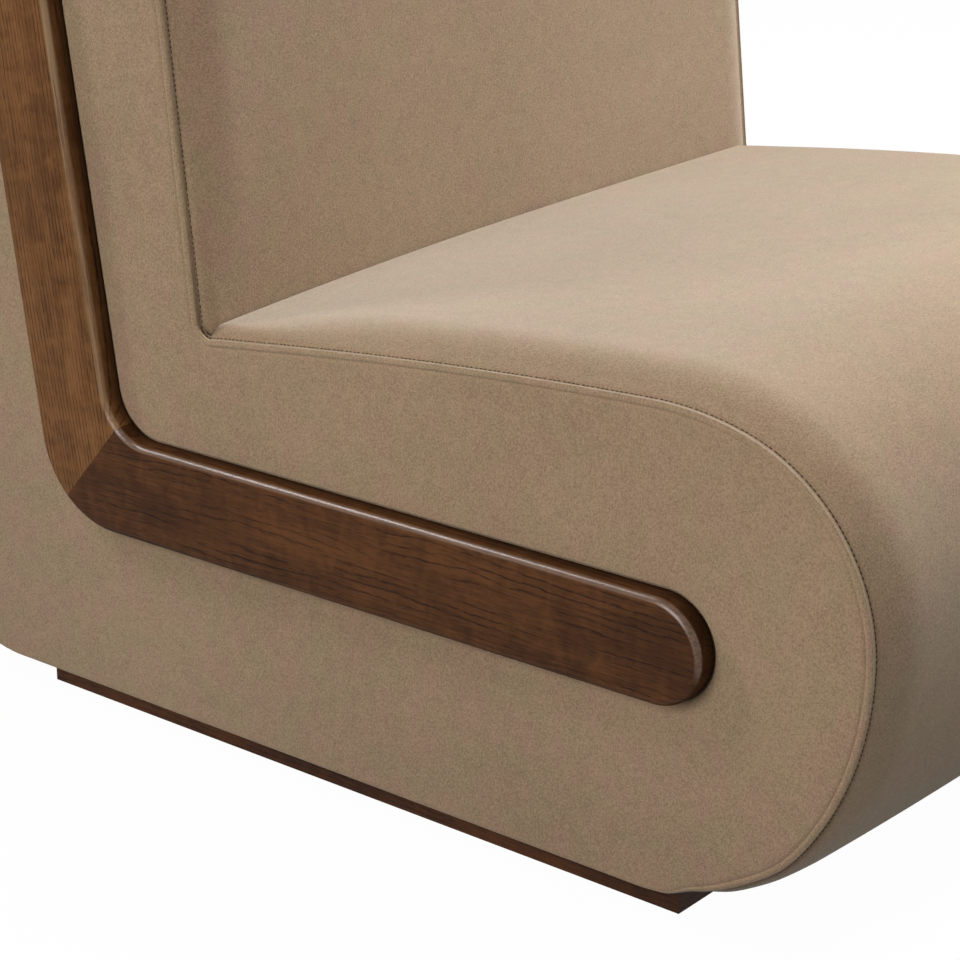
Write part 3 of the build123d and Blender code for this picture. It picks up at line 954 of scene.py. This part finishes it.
@dataclass(frozen=True)
class Metal:
    """Zinc-plated steel with a faint grain."""

    name: str
    colour: Colour
    roughness: float = 0.35
    grain: tuple[float, float, float] = (900.0, 900.0, 90.0)
    grain_range: tuple[float, float] = (0.3, 0.7)
    smoother: float = 0.08
    rougher: float = 0.1

    def build(self) -> bpy.types.Material:
        """Makes the material.

        Returns:
            The material.
        """
        shader = Shader(self.name)
        grain = shader.cloud(shader.stretch(shader.place(), self.grain), 1.0, 2.0)
        shader.feed(shader.surface, "Base Color", (*self.colour, 1.0))
        shader.feed(shader.surface, "Metallic", 1.0)
        shader.feed(shader.surface, "Roughness",
                    shader.span(grain, *self.grain_range, self.roughness - self.smoother,
                                self.roughness + self.rougher))
        return shader.material


@dataclass(frozen=True)
class Plastic:
    """Moulded plastic with a fine matt grain."""

    name: str
    colour: Colour
    roughness: float = 0.55
    grain_scale: float = 700.0
    grain_height: float = 0.0001
    grain_strength: float = 0.4

    def build(self) -> bpy.types.Material:
        """Makes the material.

        Returns:
            The material.
        """
        shader = Shader(self.name)
        grain = shader.cloud(shader.place(), self.grain_scale, 2.0)
        shader.feed(shader.surface, "Base Color", (*self.colour, 1.0))
        shader.feed(shader.surface, "Roughness", self.roughness)
        shader.feed(shader.surface, "Normal", shader.bump(grain, self.grain_height, self.grain_strength))
        return shader.material


@dataclass
class MainCover:
    """Velvet strip over the nose, seat, back and top, with its topstitched side seams.

    Insets are distances from the side seam, and depths lie under the plain surface of the body.
    """

    body: Body
    finish: bpy.types.Material
    row_spacing: float = 0.006
    turn_spacing: float = 5.0
    seam_depth: float = 0.0026
    band_depth: float = -0.0010
    band_fade: float = 0.008
    ridge_radius: float = 0.0019
    ridge_height: float = 0.0008
    ridge_reach: float = 0.0012
    stitch_inset: float = 0.0072
    stitch_groove: float = 0.0005
    stitch_reach: float = 0.0011
    stitch_columns: tuple[float, ...] = (-1.0, -0.5, 0.0, 0.5, 1.0)
    return_inset: float = 0.0030
    return_depth: float = 0.0055
    hem_depth: float = 0.0006
    first_column: float = 0.0003
    column_growth: float = 1.16
    largest_column: float = 0.016
    bottom_return: float = 0.015

    def columns(self) -> list[float]:
        """Spaces the columns, close together at the seam and the stitch line.

        Returns:
            Distance of each column from the side seam.
        """
        found, step = [0.0], self.first_column
        while found[-1] + step < self.body.half:
            found.append(found[-1] + step)
            step = min(step * self.column_growth, self.largest_column)
        found += [self.stitch_inset + offset * self.stitch_reach for offset in self.stitch_columns]
        return sorted(found)

    def stations(self) -> list[tuple[float, tuple[float, float]]]:
        """Lays the columns out across the width, with the seams turned in at both ends.

        Returns:
            Place of each column, with its depth along the seam and at the underside.
        """
        side = [(self.body.half - inset, (self.depth(inset), self.low_depth(inset)))
                for inset in self.columns()]
        turned_in = (self.return_depth, self.hem_depth + self.return_inset)
        side.insert(0, (self.body.half - self.return_inset, turned_in))
        return [(-x, depths) for x, depths in side] + side[::-1]

    def low_depth(self, inset: float) -> float:
        """Depth under the plain surface at the flat underside, where the seam has faded out."""
        return self.hem_depth * (1 - smooth(inset / self.ridge_radius))

    def depth(self, inset: float) -> float:
        """Depth under the plain surface, over the seam's ridge and along the stitches.

        Args:
            inset: Distance from the side seam.

        Returns:
            The depth.
        """
        over = min(inset / self.ridge_radius, 1.0)
        sink = (self.seam_depth - self.band_depth) * (1 - sqrt(1 - (1 - over) ** 2))
        ridge = self.ridge_height * exp(-((inset - self.ridge_radius) / self.ridge_reach) ** 2)
        groove = self.stitch_groove * exp(-((inset - self.stitch_inset) / self.stitch_reach) ** 2)
        band = self.band_depth * (1 - smooth((inset - self.stitch_inset) / self.band_fade))
        return sink + band + groove - ridge

    def slice(self, x: float, depths: tuple[float, float], counts: Sequence[int]) -> list[Vector]:
        """Places the points of one slice, from the front edge under the nose over the top.

        Args:
            x: Place across the width.
            depths: Depth along the seam and at the underside.
            counts: Number of parts of each step of the outline.

        Returns:
            The points.
        """
        points = [self.body.place(x, point) for point, _ in self.body.line(0, depths, counts, x)]
        under = points[0] + Vector((0, self.bottom_return, 0))
        return [under, *points]

    def counts(self) -> list[int]:
        """Counts the parts of each step of the outline.

        Returns:
            Counts that are enough for the plainest slice and for the most folded one.
        """
        plain, folded = (self.body.outline(fold=fold)[0].counts(self.row_spacing, self.turn_spacing)
                         for fold in (0.0, 1.0))
        return [max(pair) for pair in zip(plain, folded)]

    def build(self) -> bpy.types.Object:
        """Makes the cover.

        Returns:
            The cover.
        """
        counts = self.counts()
        slices = [self.slice(x, depths, counts) for x, depths in self.stations()]
        mesh = grid_mesh(len(slices[0]) - 1, len(slices) - 1, lambda row, column: slices[column][row])
        bmesh.ops.recalc_face_normals(mesh, faces=mesh.faces)
        return add_piece("main_velvet_cover", mesh, self.finish)


@dataclass
class Topstitch:
    """Row of thread stitches beside a side seam of the main cover."""

    body: Body
    cover: MainCover
    finish: bpy.types.Material
    pitch: float = 0.0043
    stitch_length: float = 0.0031
    thread: float = 0.00085
    sink: float = 0.0002
    point_spacing: float = 0.001
    turn_spacing: float = 1.0
    segments: int = 6
    rings: int = 4

    def line(self, side: Side) -> list[Vector]:
        """Follows the stitch line of one side.

        Args:
            side: Side of the chair.

        Returns:
            Closely spaced points along the line.
        """
        inset = self.cover.stitch_inset
        x = side.value * (self.body.half - inset)
        raised = self.sink - self.thread / 2
        depths = (self.cover.depth(inset) + raised, self.cover.low_depth(inset) + raised)
        outline = self.body.outline(depths[0], self.body.crown(x), self.body.fold(x))[0]
        counts = outline.counts(self.point_spacing, self.turn_spacing)
        return [self.body.place(x, point) for point, _ in self.body.line(0, depths, counts, x)]

    def build(self, side: Side) -> bpy.types.Object:
        """Makes the stitches of one side.

        Args:
            side: Side of the chair.

        Returns:
            One piece that holds all the stitches of that side.
        """
        mesh = bmesh.new()
        points = self.line(side)
        travelled = 0.0
        for start, end in zip(points, points[1:]):
            travelled += (end - start).length
            if travelled < self.pitch:
                continue
            travelled -= self.pitch
            turn = (end - start).to_track_quat("Z", "Y").to_matrix().to_4x4()
            size = Matrix.Diagonal((self.thread / 2, self.thread / 2, self.stitch_length / 2, 1.0))
            bmesh.ops.create_uvsphere(mesh, u_segments=self.segments, v_segments=self.rings, radius=1.0,
                                      matrix=Matrix.Translation(end) @ turn @ size)
        return add_piece(f"topstitch_{side.word}", mesh, self.finish)


@dataclass
class RearCover:
    """Velvet panel on the rear of the back, round its low corner to the underside."""

    body: Body
    cover: MainCover
    finish: bpy.types.Material
    row_spacing: float = 0.010
    turn_spacing: float = 5.0
    seam_reach: float = 0.004
    tuck: float = 0.005
    seam_tuck_share: float = 0.1
    bottom_return: float = 0.015

    def build(self) -> bpy.types.Object:
        """Makes the panel.

        Returns:
            The panel.
        """
        counts = self.body.outline()[1].counts(self.row_spacing, self.turn_spacing)
        slices = []
        heading = self.body.rear_heading
        inward = ray(heading - UPWARD, self.tuck)
        for x, depths in self.cover.stations():
            line = [point for point, _ in self.body.line(1, depths, counts, x)]
            points = [line[0] + inward, *line]
            points[1] = points[1] + ray(heading, self.seam_reach) + inward * self.seam_tuck_share
            points.append(points[-1] - Vector((self.bottom_return, 0)))
            slices.append([self.body.place(x, point) for point in points])
        mesh = grid_mesh(len(slices[0]) - 1, len(slices) - 1, lambda row, column: slices[column][row])
        bmesh.ops.recalc_face_normals(mesh, faces=mesh.faces)
        return add_piece("rear_velvet_panel", mesh, self.finish)


@dataclass
class Strip:
    """Side outline of the wood trim: two legs, a round corner and round ends."""

    body: Body
    width: float = 0.085
    proud: float = 0.019
    front_from_nose: float = 0.1695
    front_height: float = 0.2282
    corner_from_nose: float = 0.755
    corner_height: float = 0.2236
    upright_length: float = 0.452
    outer_radius: float = 0.080
    inner_radius: float = 0.044
    edge_radius: float = 0.007

    @property
    def front(self) -> Vector:
        """Centre of the round front end."""
        return Vector((self.front_from_nose, self.front_height))

    @property
    def corner(self) -> Vector:
        """Crossing of the centre lines of the two legs."""
        return Vector((self.corner_from_nose, self.corner_height))

    @property
    def low_heading(self) -> float:
        """Heading of the lower leg, from its front end."""
        run = self.corner - self.front
        return degrees(atan2(run.y, run.x))

    @property
    def high_heading(self) -> float:
        """Heading of the upright leg, from the corner."""
        return UPWARD - self.body.rear_recline

    @property
    def mitre_heading(self) -> float:
        """Heading of the mitre line, from the inner corner to the outer one."""
        return (self.low_heading + self.high_heading) / 2 - UPWARD

    def outline(self, grow: float) -> Outline:
        """Draws the closed outline of both legs, from the point under the front end's centre.

        Args:
            grow: Distance by which it is moved outwards.

        Returns:
            The outline.
        """
        turn = self.high_heading - self.low_heading
        half = self.width / 2 + grow
        mitre = half * tan(radians(turn) / 2)
        outer_radius, inner_radius = self.outer_radius + grow, self.inner_radius - grow
        outer, inner = tangent_length(outer_radius, turn), tangent_length(inner_radius, turn)
        low, high = (self.corner - self.front).length, self.upright_length
        steps = [(low + mitre - outer,), (outer_radius, turn), (high + mitre - outer,), (half, HALF_TURN),
                 (high - mitre - inner,), (inner_radius, -turn), (low - mitre - inner,), (half, HALF_TURN)]
        return Outline(self.front + ray(self.low_heading - UPWARD, half), self.low_heading, steps)


@dataclass
class SidePanel:
    """Flat velvet panel of one side, rolled into its seam and pressed in by the wood strip."""

    body: Body
    strip: Strip
    finish: bpy.types.Material
    row_spacing: float = 0.008
    turn_spacing: float = 6.0
    strip_turn_spacing: float = 8.0
    seam_inset: float = 0.0020
    seam_sink: float = 0.0038
    hem_inset: float = 0.0003
    hem_sink_share: float = 0.15
    roll_reach: float = 0.0042
    swell: float = 0.0005
    swell_reach: float = 0.045
    strip_under: float = -0.002
    strip_reach: float = 0.034
    gap_depth: float = 0.0022
    gap_width: float = 0.0013
    gap_steps: int = 5
    ring_count: int = 12
    edge_growth: float = 2.0
    gap_growth: float = 2.0
    strip_growth: float = 1.6
    level_margin: float = 1e-5

    def edge_height(self, depth: float, seam: float) -> float:
        """Distance of the surface outside the side plane, near the outer seam.

        Args:
            depth: Depth under the surface of the body, where the seam has its full form.
            seam: Share of the seam's form.

        Returns:
            The distance, negative where the panel is drawn in.
        """
        rise = min(1.0, max(0.0, depth - self.seam_inset) / self.roll_reach)
        roll = sqrt(1 - (1 - rise) ** 2)
        sink = self.seam_sink * max(seam, self.hem_sink_share)
        return sink * (roll - 1) + self.swell * smooth(depth / self.swell_reach)

    def strip_height(self, grow: float) -> float:
        """Distance of the surface outside the side plane, near the wood strip."""
        gap = sqrt(max(0.0, 1 - grow / self.gap_width)) if grow > 0 else 1.0
        return self.swell * smooth(grow / self.strip_reach) - self.gap_depth * gap

    def strip_rings(self) -> list[float]:
        """Spaces the rings round the wood strip, close together in the gap beside it.

        Returns:
            Distance of each ring from the strip.
        """
        near = [self.gap_width * (step / self.gap_steps) ** self.gap_growth for step in range(self.gap_steps)]
        rest = self.strip_reach - self.gap_width
        far = [self.gap_width + rest * (ring / self.ring_count) ** self.strip_growth
               for ring in range(self.ring_count + 1)]
        return [self.strip_under, *near, *far]

    def edge_line(self, depth: float) -> list[tuple[Vector, float]]:
        """Goes once round the body at a depth under its surface.

        Args:
            depth: The depth.

        Returns:
            Points of the closed line, each with the seam's share there.
        """
        depths = (depth, depth - self.seam_inset + self.hem_inset)
        main, rear = (self.body.line(part, depths, outline.counts(self.row_spacing, self.turn_spacing))
                      for part, outline in enumerate(self.body.outline()))
        points = main + rear[1:]
        flat = points[0][0] - points[-1][0]
        parts = ceil(flat.length / self.row_spacing)
        return points + [(points[-1][0] + flat * (part + 1) / parts, 0.0) for part in range(parts)]

    def edge_mesh(self, side: Side) -> bmesh.types.BMesh:
        """Makes the border along the seam, in rings that go inwards.

        Args:
            side: Side of the chair.

        Returns:
            The border.

        Raises:
            ValueError: A ring has another number of points than the first one.
        """
        edge_steps = [self.seam_inset + self.swell_reach * (ring / self.ring_count) ** self.edge_growth
                      for ring in range(self.ring_count + 1)]
        parts = len(self.edge_line(self.seam_inset)) - 1
        edges = []
        for depth in edge_steps:
            line = self.edge_line(depth)
            if len(line) != parts + 1:
                raise ValueError(f"the line at depth {depth} has {len(line)} points, not {parts + 1}")
            edges.append([
                self.body.place(side.value * (self.body.half + self.edge_height(depth, seam)), point)
                for point, seam in line])
        return grid_mesh(parts, self.ring_count, lambda row, column: edges[column][row])

    def strip_mesh(self, side: Side) -> bmesh.types.BMesh:
        """Makes the field round the wood strip, pressed in beside it.

        Args:
            side: Side of the chair.

        Returns:
            The field, in rings that go outwards.
        """
        counts = self.strip.outline(0.0).counts(self.row_spacing, self.strip_turn_spacing)
        rings = []
        for grow in self.strip_rings():
            x = side.value * (self.body.half + self.strip_height(grow))
            outline = self.strip.outline(grow)
            rings.append([self.body.place(x, point) for point, _ in outline.places(counts)])
        return grid_mesh(sum(counts), len(rings) - 1, lambda row, column: rings[column][row])

    def build(self, side: Side) -> bpy.types.Object:
        """Makes the panel of one side.

        Args:
            side: Side of the chair.

        Returns:
            The panel.
        """
        mesh, around = self.edge_mesh(side), self.strip_mesh(side)
        held = bpy.data.meshes.new("around_strip")
        around.to_mesh(held)
        around.free()
        mesh.from_mesh(held)
        bpy.data.meshes.remove(held)
        rim = [edge for edge in mesh.edges if edge.is_boundary and self.is_inner(edge)]
        bmesh.ops.triangle_fill(mesh, edges=rim, use_beauty=True)
        bmesh.ops.recalc_face_normals(mesh, faces=mesh.faces)
        return add_piece(f"side_velvet_panel_{side.word}", mesh, self.finish)

    def is_inner(self, edge: bmesh.types.BMEdge) -> bool:
        """True for an edge that bounds the flat field between the seam and the strip."""
        level = self.body.half + self.swell
        return all(abs(abs(vertex.co.x) - level) < self.level_margin for vertex in edge.verts)


@dataclass
class WoodStrip:
    """L-shaped wood strip of one side, in two mitred legs with rounded edges."""

    strip: Strip
    seat_finish: bpy.types.Material
    back_finish: bpy.types.Material
    spacing: float = 0.006
    turn_spacing: float = 4.0
    roll_count: int = 7
    glue_line: float = 0.0001
    flat_angle: float = 30.0

    def profile(self) -> list[tuple[float, float]]:
        """Draws the section of the strip's edge, from the body's side to the rounded arris.

        Returns:
            Growth of the outline and distance from the body's side, for each ring.
        """
        strip = self.strip
        rings = [(0.0, 0.0), (0.0, strip.proud - strip.edge_radius)]
        for part in range(1, self.roll_count + 1):
            turn = radians(UPWARD * part / self.roll_count)
            rings.append((-strip.edge_radius * (1 - cos(turn)),
                          strip.proud - strip.edge_radius * (1 - sin(turn))))
        return rings

    def cut_mitre(self, mesh: bmesh.types.BMesh, front: bool) -> None:
        """Cuts a whole strip down to one leg and closes it there.

        Args:
            mesh: The whole strip.
            front: True for the lower leg, False for the upright one.
        """
        corner = self.strip.body.place(0.0, self.strip.corner)
        along = ray(self.strip.mitre_heading - UPWARD)
        normal = Vector((0.0, along.x, along.y)) * (-1 if front else 1)
        cut = bmesh.ops.bisect_plane(mesh, geom=[*mesh.verts, *mesh.edges, *mesh.faces],
                                     plane_co=corner - normal * self.glue_line, plane_no=normal,
                                     clear_outer=True)
        rim = [item for item in cut["geom_cut"] if isinstance(item, bmesh.types.BMEdge)]
        bmesh.ops.holes_fill(mesh, edges=rim, sides=0)

    def half_mesh(self, side: Side, front: bool) -> bmesh.types.BMesh:
        """Shape of one leg.

        Args:
            side: Side of the chair.
            front: True for the lower leg, False for the upright one.

        Returns:
            The leg, cut at the mitre and closed there.
        """
        strip, body = self.strip, self.strip.body
        counts = strip.outline(0.0).counts(self.spacing, self.turn_spacing)
        lines = []
        for grow, out in self.profile():
            x = side.value * (body.half + out)
            lines.append([body.place(x, point) for point, _ in strip.outline(grow).places(counts)])
        mesh = grid_mesh(sum(counts), len(lines) - 1, lambda row, column: lines[column][row])
        loops = [edge for edge in mesh.edges if edge.is_boundary]
        bmesh.ops.holes_fill(mesh, edges=loops, sides=0)
        self.cut_mitre(mesh, front)
        bmesh.ops.recalc_face_normals(mesh, faces=mesh.faces)
        return mesh

    def build(self, side: Side) -> list[bpy.types.Object]:
        """Makes both legs of one side.

        Args:
            side: Side of the chair.

        Returns:
            The lower leg and the upright one.
        """
        pieces = []
        for word, front, finish in (("seat", True, self.seat_finish), ("back", False, self.back_finish)):
            leg = self.half_mesh(side, front)
            piece = add_piece(f"wood_strip_{word}_{side.word}", leg, finish)
            keep_flat(piece, radians(self.flat_angle))
            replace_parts(piece, f"trim_{word}_{side.word}")
            pieces.append(piece)
        return pieces


def keep_flat(piece: bpy.types.Object, angle: float) -> None:
    """Marks edges sharper than an angle, so that the faces beside them shade flat.

    Args:
        piece: The piece.
        angle: The angle, in radians.
    """
    mesh = bmesh.new()
    mesh.from_mesh(piece.data)
    for edge in mesh.edges:
        edge.smooth = len(edge.link_faces) == 2 and edge.calc_face_angle(0.0) < angle
    mesh.to_mesh(piece.data)
    mesh.free()


@dataclass
class Underside:
    """Black cloth stapled under the body."""

    body: Body
    finish: bpy.types.Material
    inset: float = 0.006
    overlap: float = 0.008
    lift: float = 0.0004
    parts: int = 24

    def build(self) -> bpy.types.Object:
        """Makes the cloth.

        Returns:
            The cloth.
        """
        low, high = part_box("dust_cover")
        half = self.body.half - self.inset
        front, rear = low[1] - self.overlap, high[1] + self.overlap
        height = self.body.underside + self.lift
        mesh = grid_mesh(self.parts, self.parts, lambda row, column: Vector((
            -half + 2 * half * column / self.parts, front + (rear - front) * row / self.parts, height)))
        for face in mesh.faces:
            face.normal_flip()
        piece = add_piece("underside_cloth", mesh, self.finish)
        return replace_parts(piece, "dust_cover")


@dataclass
class Straps:
    """Elastic straps under the seat and behind the back, hidden by the padding."""

    finish: bpy.types.Material
    flat_angle: float = 1.0
    edge_radius: float = 0.0006

    def build(self, node: str, name: str) -> bpy.types.Object:
        """Makes the straps that stand for one CAD node.

        Args:
            node: Node of the frame.
            name: Name of the new piece.

        Returns:
            The straps, with softened edges.
        """
        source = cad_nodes()[node].data
        mesh = bmesh.new()
        mesh.from_mesh(source)
        bmesh.ops.remove_doubles(mesh, verts=mesh.verts, dist=MERGE_DISTANCE)
        bmesh.ops.dissolve_limit(mesh, angle_limit=radians(self.flat_angle), verts=mesh.verts,
                                 edges=mesh.edges)
        bmesh.ops.bevel(mesh, geom=mesh.edges[:], offset=self.edge_radius, segments=2, profile=0.5,
                        affect="EDGES", material=-1)
        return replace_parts(add_piece(name, mesh, self.finish), node)


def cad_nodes() -> dict[str, bpy.types.Object]:
    """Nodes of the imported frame, by name."""
    return frame["nodes"]


def dress(finish: bpy.types.Material, *nodes: str) -> None:
    """Gives a finish to CAD nodes that stay as they are.

    Args:
        finish: The finish.
        *nodes: Names of the nodes.
    """
    for node in nodes:
        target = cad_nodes()[node]
        for place in target.material_slots:
            place.material = finish


@dataclass(frozen=True)
class Lamp:
    """Soft rectangular lamp."""

    name: str
    place: tuple[float, float, float]
    size: tuple[float, float]
    power: float

    def build(self, target: Vector) -> None:
        """Adds the lamp.

        Args:
            target: Point that it faces.
        """
        data = bpy.data.lights.new(self.name, "AREA")
        data.shape, data.energy = "RECTANGLE", self.power
        data.size, data.size_y = self.size
        lamp = bpy.data.objects.new(self.name, data)
        lamp.location = self.place
        lamp.rotation_euler = (target - Vector(self.place)).to_track_quat("-Z", "Y").to_euler()
        bpy.context.scene.collection.objects.link(lamp)


@dataclass
class Studio:
    """Pale floor, soft lamps and the camera at the photograph's place."""

    camera_place: tuple[float, float, float] = (-1.9572, -1.4566, 1.0653)
    camera_turn: float = 50.827
    camera_tilt: float = 20.383
    lens: float = 109.07
    sensor: float = 36.0
    clip_end: float = 100.0
    floor_reach: float = 12.0
    floor_tone: float = 0.25
    floor_seen_tone: float = 0.95
    floor_white: float = 0.975
    floor_roughness: float = 0.9
    room: float = 0.13
    aim: tuple[float, float, float] = (0.0, 0.0, 0.4)
    lamps: tuple[Lamp, ...] = (
        Lamp("key_lamp", (1.95, -0.65, 2.3), (1.5, 1.5), 122.0),
        Lamp("rear_lamp", (-1.4, 2.0, 2.6), (0.5, 1.1), 32.0),
        Lamp("side_lamp", (-2.9, 0.0, 1.4), (1.6, 1.6), 52.0),
        Lamp("front_lamp", (0.2, -3.0, 1.0), (1.5, 1.5), 13.0))

    def add_camera(self) -> None:
        """Adds the camera."""
        data = bpy.data.cameras.new("camera")
        data.lens, data.sensor_width = self.lens, self.sensor
        data.clip_end = self.clip_end
        camera = bpy.data.objects.new("camera", data)
        camera.location = self.camera_place
        camera.rotation_euler = (radians(UPWARD - self.camera_tilt), 0.0, -radians(self.camera_turn))
        bpy.context.scene.collection.objects.link(camera)
        bpy.context.scene.camera = camera

    def add_floor(self) -> None:
        """Adds the floor, which shows white and keeps a soft shadow."""
        mesh = bmesh.new()
        bmesh.ops.create_grid(mesh, x_segments=1, y_segments=1, size=self.floor_reach)
        data = bpy.data.meshes.new("floor")
        mesh.to_mesh(data)
        mesh.free()
        shader = Shader("floor_paint")
        path = shader.add("ShaderNodeLightPath")
        seen = shader.maths("MAXIMUM", path.outputs["Is Camera Ray"], path.outputs["Is Glossy Ray"])
        seen = shader.maths("MAXIMUM", seen, path.outputs["Is Transmission Ray"])
        tones = [(tone, tone, tone) for tone in (self.floor_tone, self.floor_seen_tone)]
        shader.feed(shader.surface, "Base Color", shader.blend(seen, *tones))
        shader.feed(shader.surface, "Roughness", self.floor_roughness)
        shader.feed(shader.surface, "Specular IOR Level", 0.0)
        white = shader.add("ShaderNodeEmission", Strength=1.0)
        mix = shader.add("ShaderNodeMixShader", Fac=shader.maths("MULTIPLY", seen, self.floor_white))
        shader.tree.links.new(shader.surface.outputs[0], mix.inputs[1])
        shader.tree.links.new(white.outputs[0], mix.inputs[2])
        shader.tree.links.new(mix.outputs[0], shader.output.inputs[0])
        data.materials.append(shader.material)
        floor = bpy.data.objects.new("floor", data)
        bpy.context.scene.collection.objects.link(floor)

    def add_world(self) -> None:
        """Lights the room evenly and shows white behind the chair."""
        world = bpy.data.worlds.new("studio")
        world.use_nodes = True
        bpy.context.scene.world = world
        nodes, links = world.node_tree.nodes, world.node_tree.links
        nodes.clear()
        path = nodes.new("ShaderNodeLightPath")
        seen = path.outputs["Is Camera Ray"]
        for kind in ("Is Glossy Ray", "Is Transmission Ray"):
            either = nodes.new("ShaderNodeMath")
            either.operation = "MAXIMUM"
            links.new(seen, either.inputs[0])
            links.new(path.outputs[kind], either.inputs[1])
            seen = either.outputs[0]
        plain, white = nodes.new("ShaderNodeBackground"), nodes.new("ShaderNodeBackground")
        plain.inputs["Strength"].default_value = self.room
        white.inputs["Strength"].default_value = 1.0
        for background in (plain, white):
            background.inputs["Color"].default_value = (1.0, 1.0, 1.0, 1.0)
        mix, output = nodes.new("ShaderNodeMixShader"), nodes.new("ShaderNodeOutputWorld")
        links.new(seen, mix.inputs[0])
        links.new(plain.outputs[0], mix.inputs[1])
        links.new(white.outputs[0], mix.inputs[2])
        links.new(mix.outputs[0], output.inputs[0])

    def build(self) -> None:
        """Builds the studio."""
        self.add_camera()
        self.add_floor()
        self.add_world()
        for lamp in self.lamps:
            lamp.build(Vector(self.aim))
        bpy.context.scene.view_settings.view_transform = "Standard"


def build_upholstery(body: Body, strip: Strip, velvet: bpy.types.Material,
                     thread: bpy.types.Material) -> None:
    """Makes the velvet covers and their stitches.

    Args:
        body: The upholstered body.
        strip: Outline of the wood strips.
        velvet: Finish of the covers.
        thread: Finish of the stitches.
    """
    cover = MainCover(body, velvet)
    piece = cover.build()
    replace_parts(piece, "main_cover", "seat_foam", "back_foam")
    stitches = Topstitch(body, cover, thread)
    panel = SidePanel(body, strip, velvet)
    for side in Side:
        stitches.build(side)
        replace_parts(panel.build(side),
                    f"side_cover_{side.word}", f"side_pad_{side.word}")
    rear = RearCover(body, cover, velvet).build()
    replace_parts(rear, "rear_cover", "rear_pad")


def build_wood(strip: Strip) -> None:
    """Makes the wood strips and dresses the plinth.

    Args:
        strip: Outline of the wood strips.
    """
    tilt = radians(strip.low_heading)
    rise = radians(strip.high_heading)
    # Each strip's lighter arris colour is partly wear and partly a painted highlight on its lit side.
    seat_finish = Wood("strip_wood_seat", SEAT_STRIP_STAIN, turn=(-tilt, 0.0, 0.0), shift=(0.13, 0.0, 0.31),
                       ring_pitch=0.0066, worn_and_highlit=(0.160, 0.080, 0.038), lit_side=(0.0, -0.5, 0.87)).build()
    back_finish = Wood("strip_wood_back", BACK_STRIP_STAIN, turn=(-rise, 0.0, 0.0), shift=(0.42, 0.7, 0.12),
                       ring_pitch=0.0041, ring_wander=6.0, ring_wobble=0.5, line_weight=1.0,
                       faint_line=0.45, worn_and_highlit=(0.300, 0.185, 0.095), lit_side=(0.0, -1.0, 0.0),
                       arris_coat=0.45).build()
    wood = WoodStrip(strip, seat_finish, back_finish)
    for side in Side:
        wood.build(side)
    dress(Wood("plinth_wood_side", PLINTH_STAIN).build(), "plinth_left", "plinth_right")
    dress(Wood("plinth_wood_end", PLINTH_STAIN, turn=CROSSWISE).build(), "plinth_front", "plinth_rear")


def build_hidden_parts() -> None:
    """Dresses the frame inside the padding and makes its straps."""
    dress(Wood("plywood", BARE_PLY, coat=0.0, roughness=0.6).build(), "side_frame_left",
          "side_frame_right", "nose_ribs", "top_ribs", "nose_skin", "top_skin", "rear_board")
    rails = [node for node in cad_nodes() if node.endswith("_rail")]
    dress(Wood("frame_wood", BARE_PINE, turn=CROSSWISE, coat=0.0, roughness=0.6).build(), *rails,
          "corner_blocks", "plinth_blocks", "mitre_splines")
    dress(Metal("screw_steel", (0.62, 0.62, 0.60)).build(), "trim_screws", "plinth_screws")
    dress(Plastic("glide_plastic", (0.02, 0.02, 0.02)).build(), "floor_glides")
    straps = Straps(Cloth("webbing", (0.02, 0.02, 0.02), 0.0022).build())
    straps.build("seat_webbing", "seat_straps")
    straps.build("back_webbing", "back_straps")


def main() -> None:
    """Builds the chair, its finishes and the studio."""
    logging.basicConfig(level=logging.INFO, format="%(message)s")
    body = Body()
    strip = Strip(body)
    Studio().build()
    velvet = Velvet().build()
    thread = Cloth("topstitch_thread", (0.050, 0.027, 0.014), 0.0004).build()
    build_upholstery(body, strip, velvet, thread)
    build_wood(strip)
    build_hidden_parts()
    Underside(body, Cloth("underside_cloth", (0.012, 0.012, 0.012)).build()).build()
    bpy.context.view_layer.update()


if __name__ == "__main__":
    main()
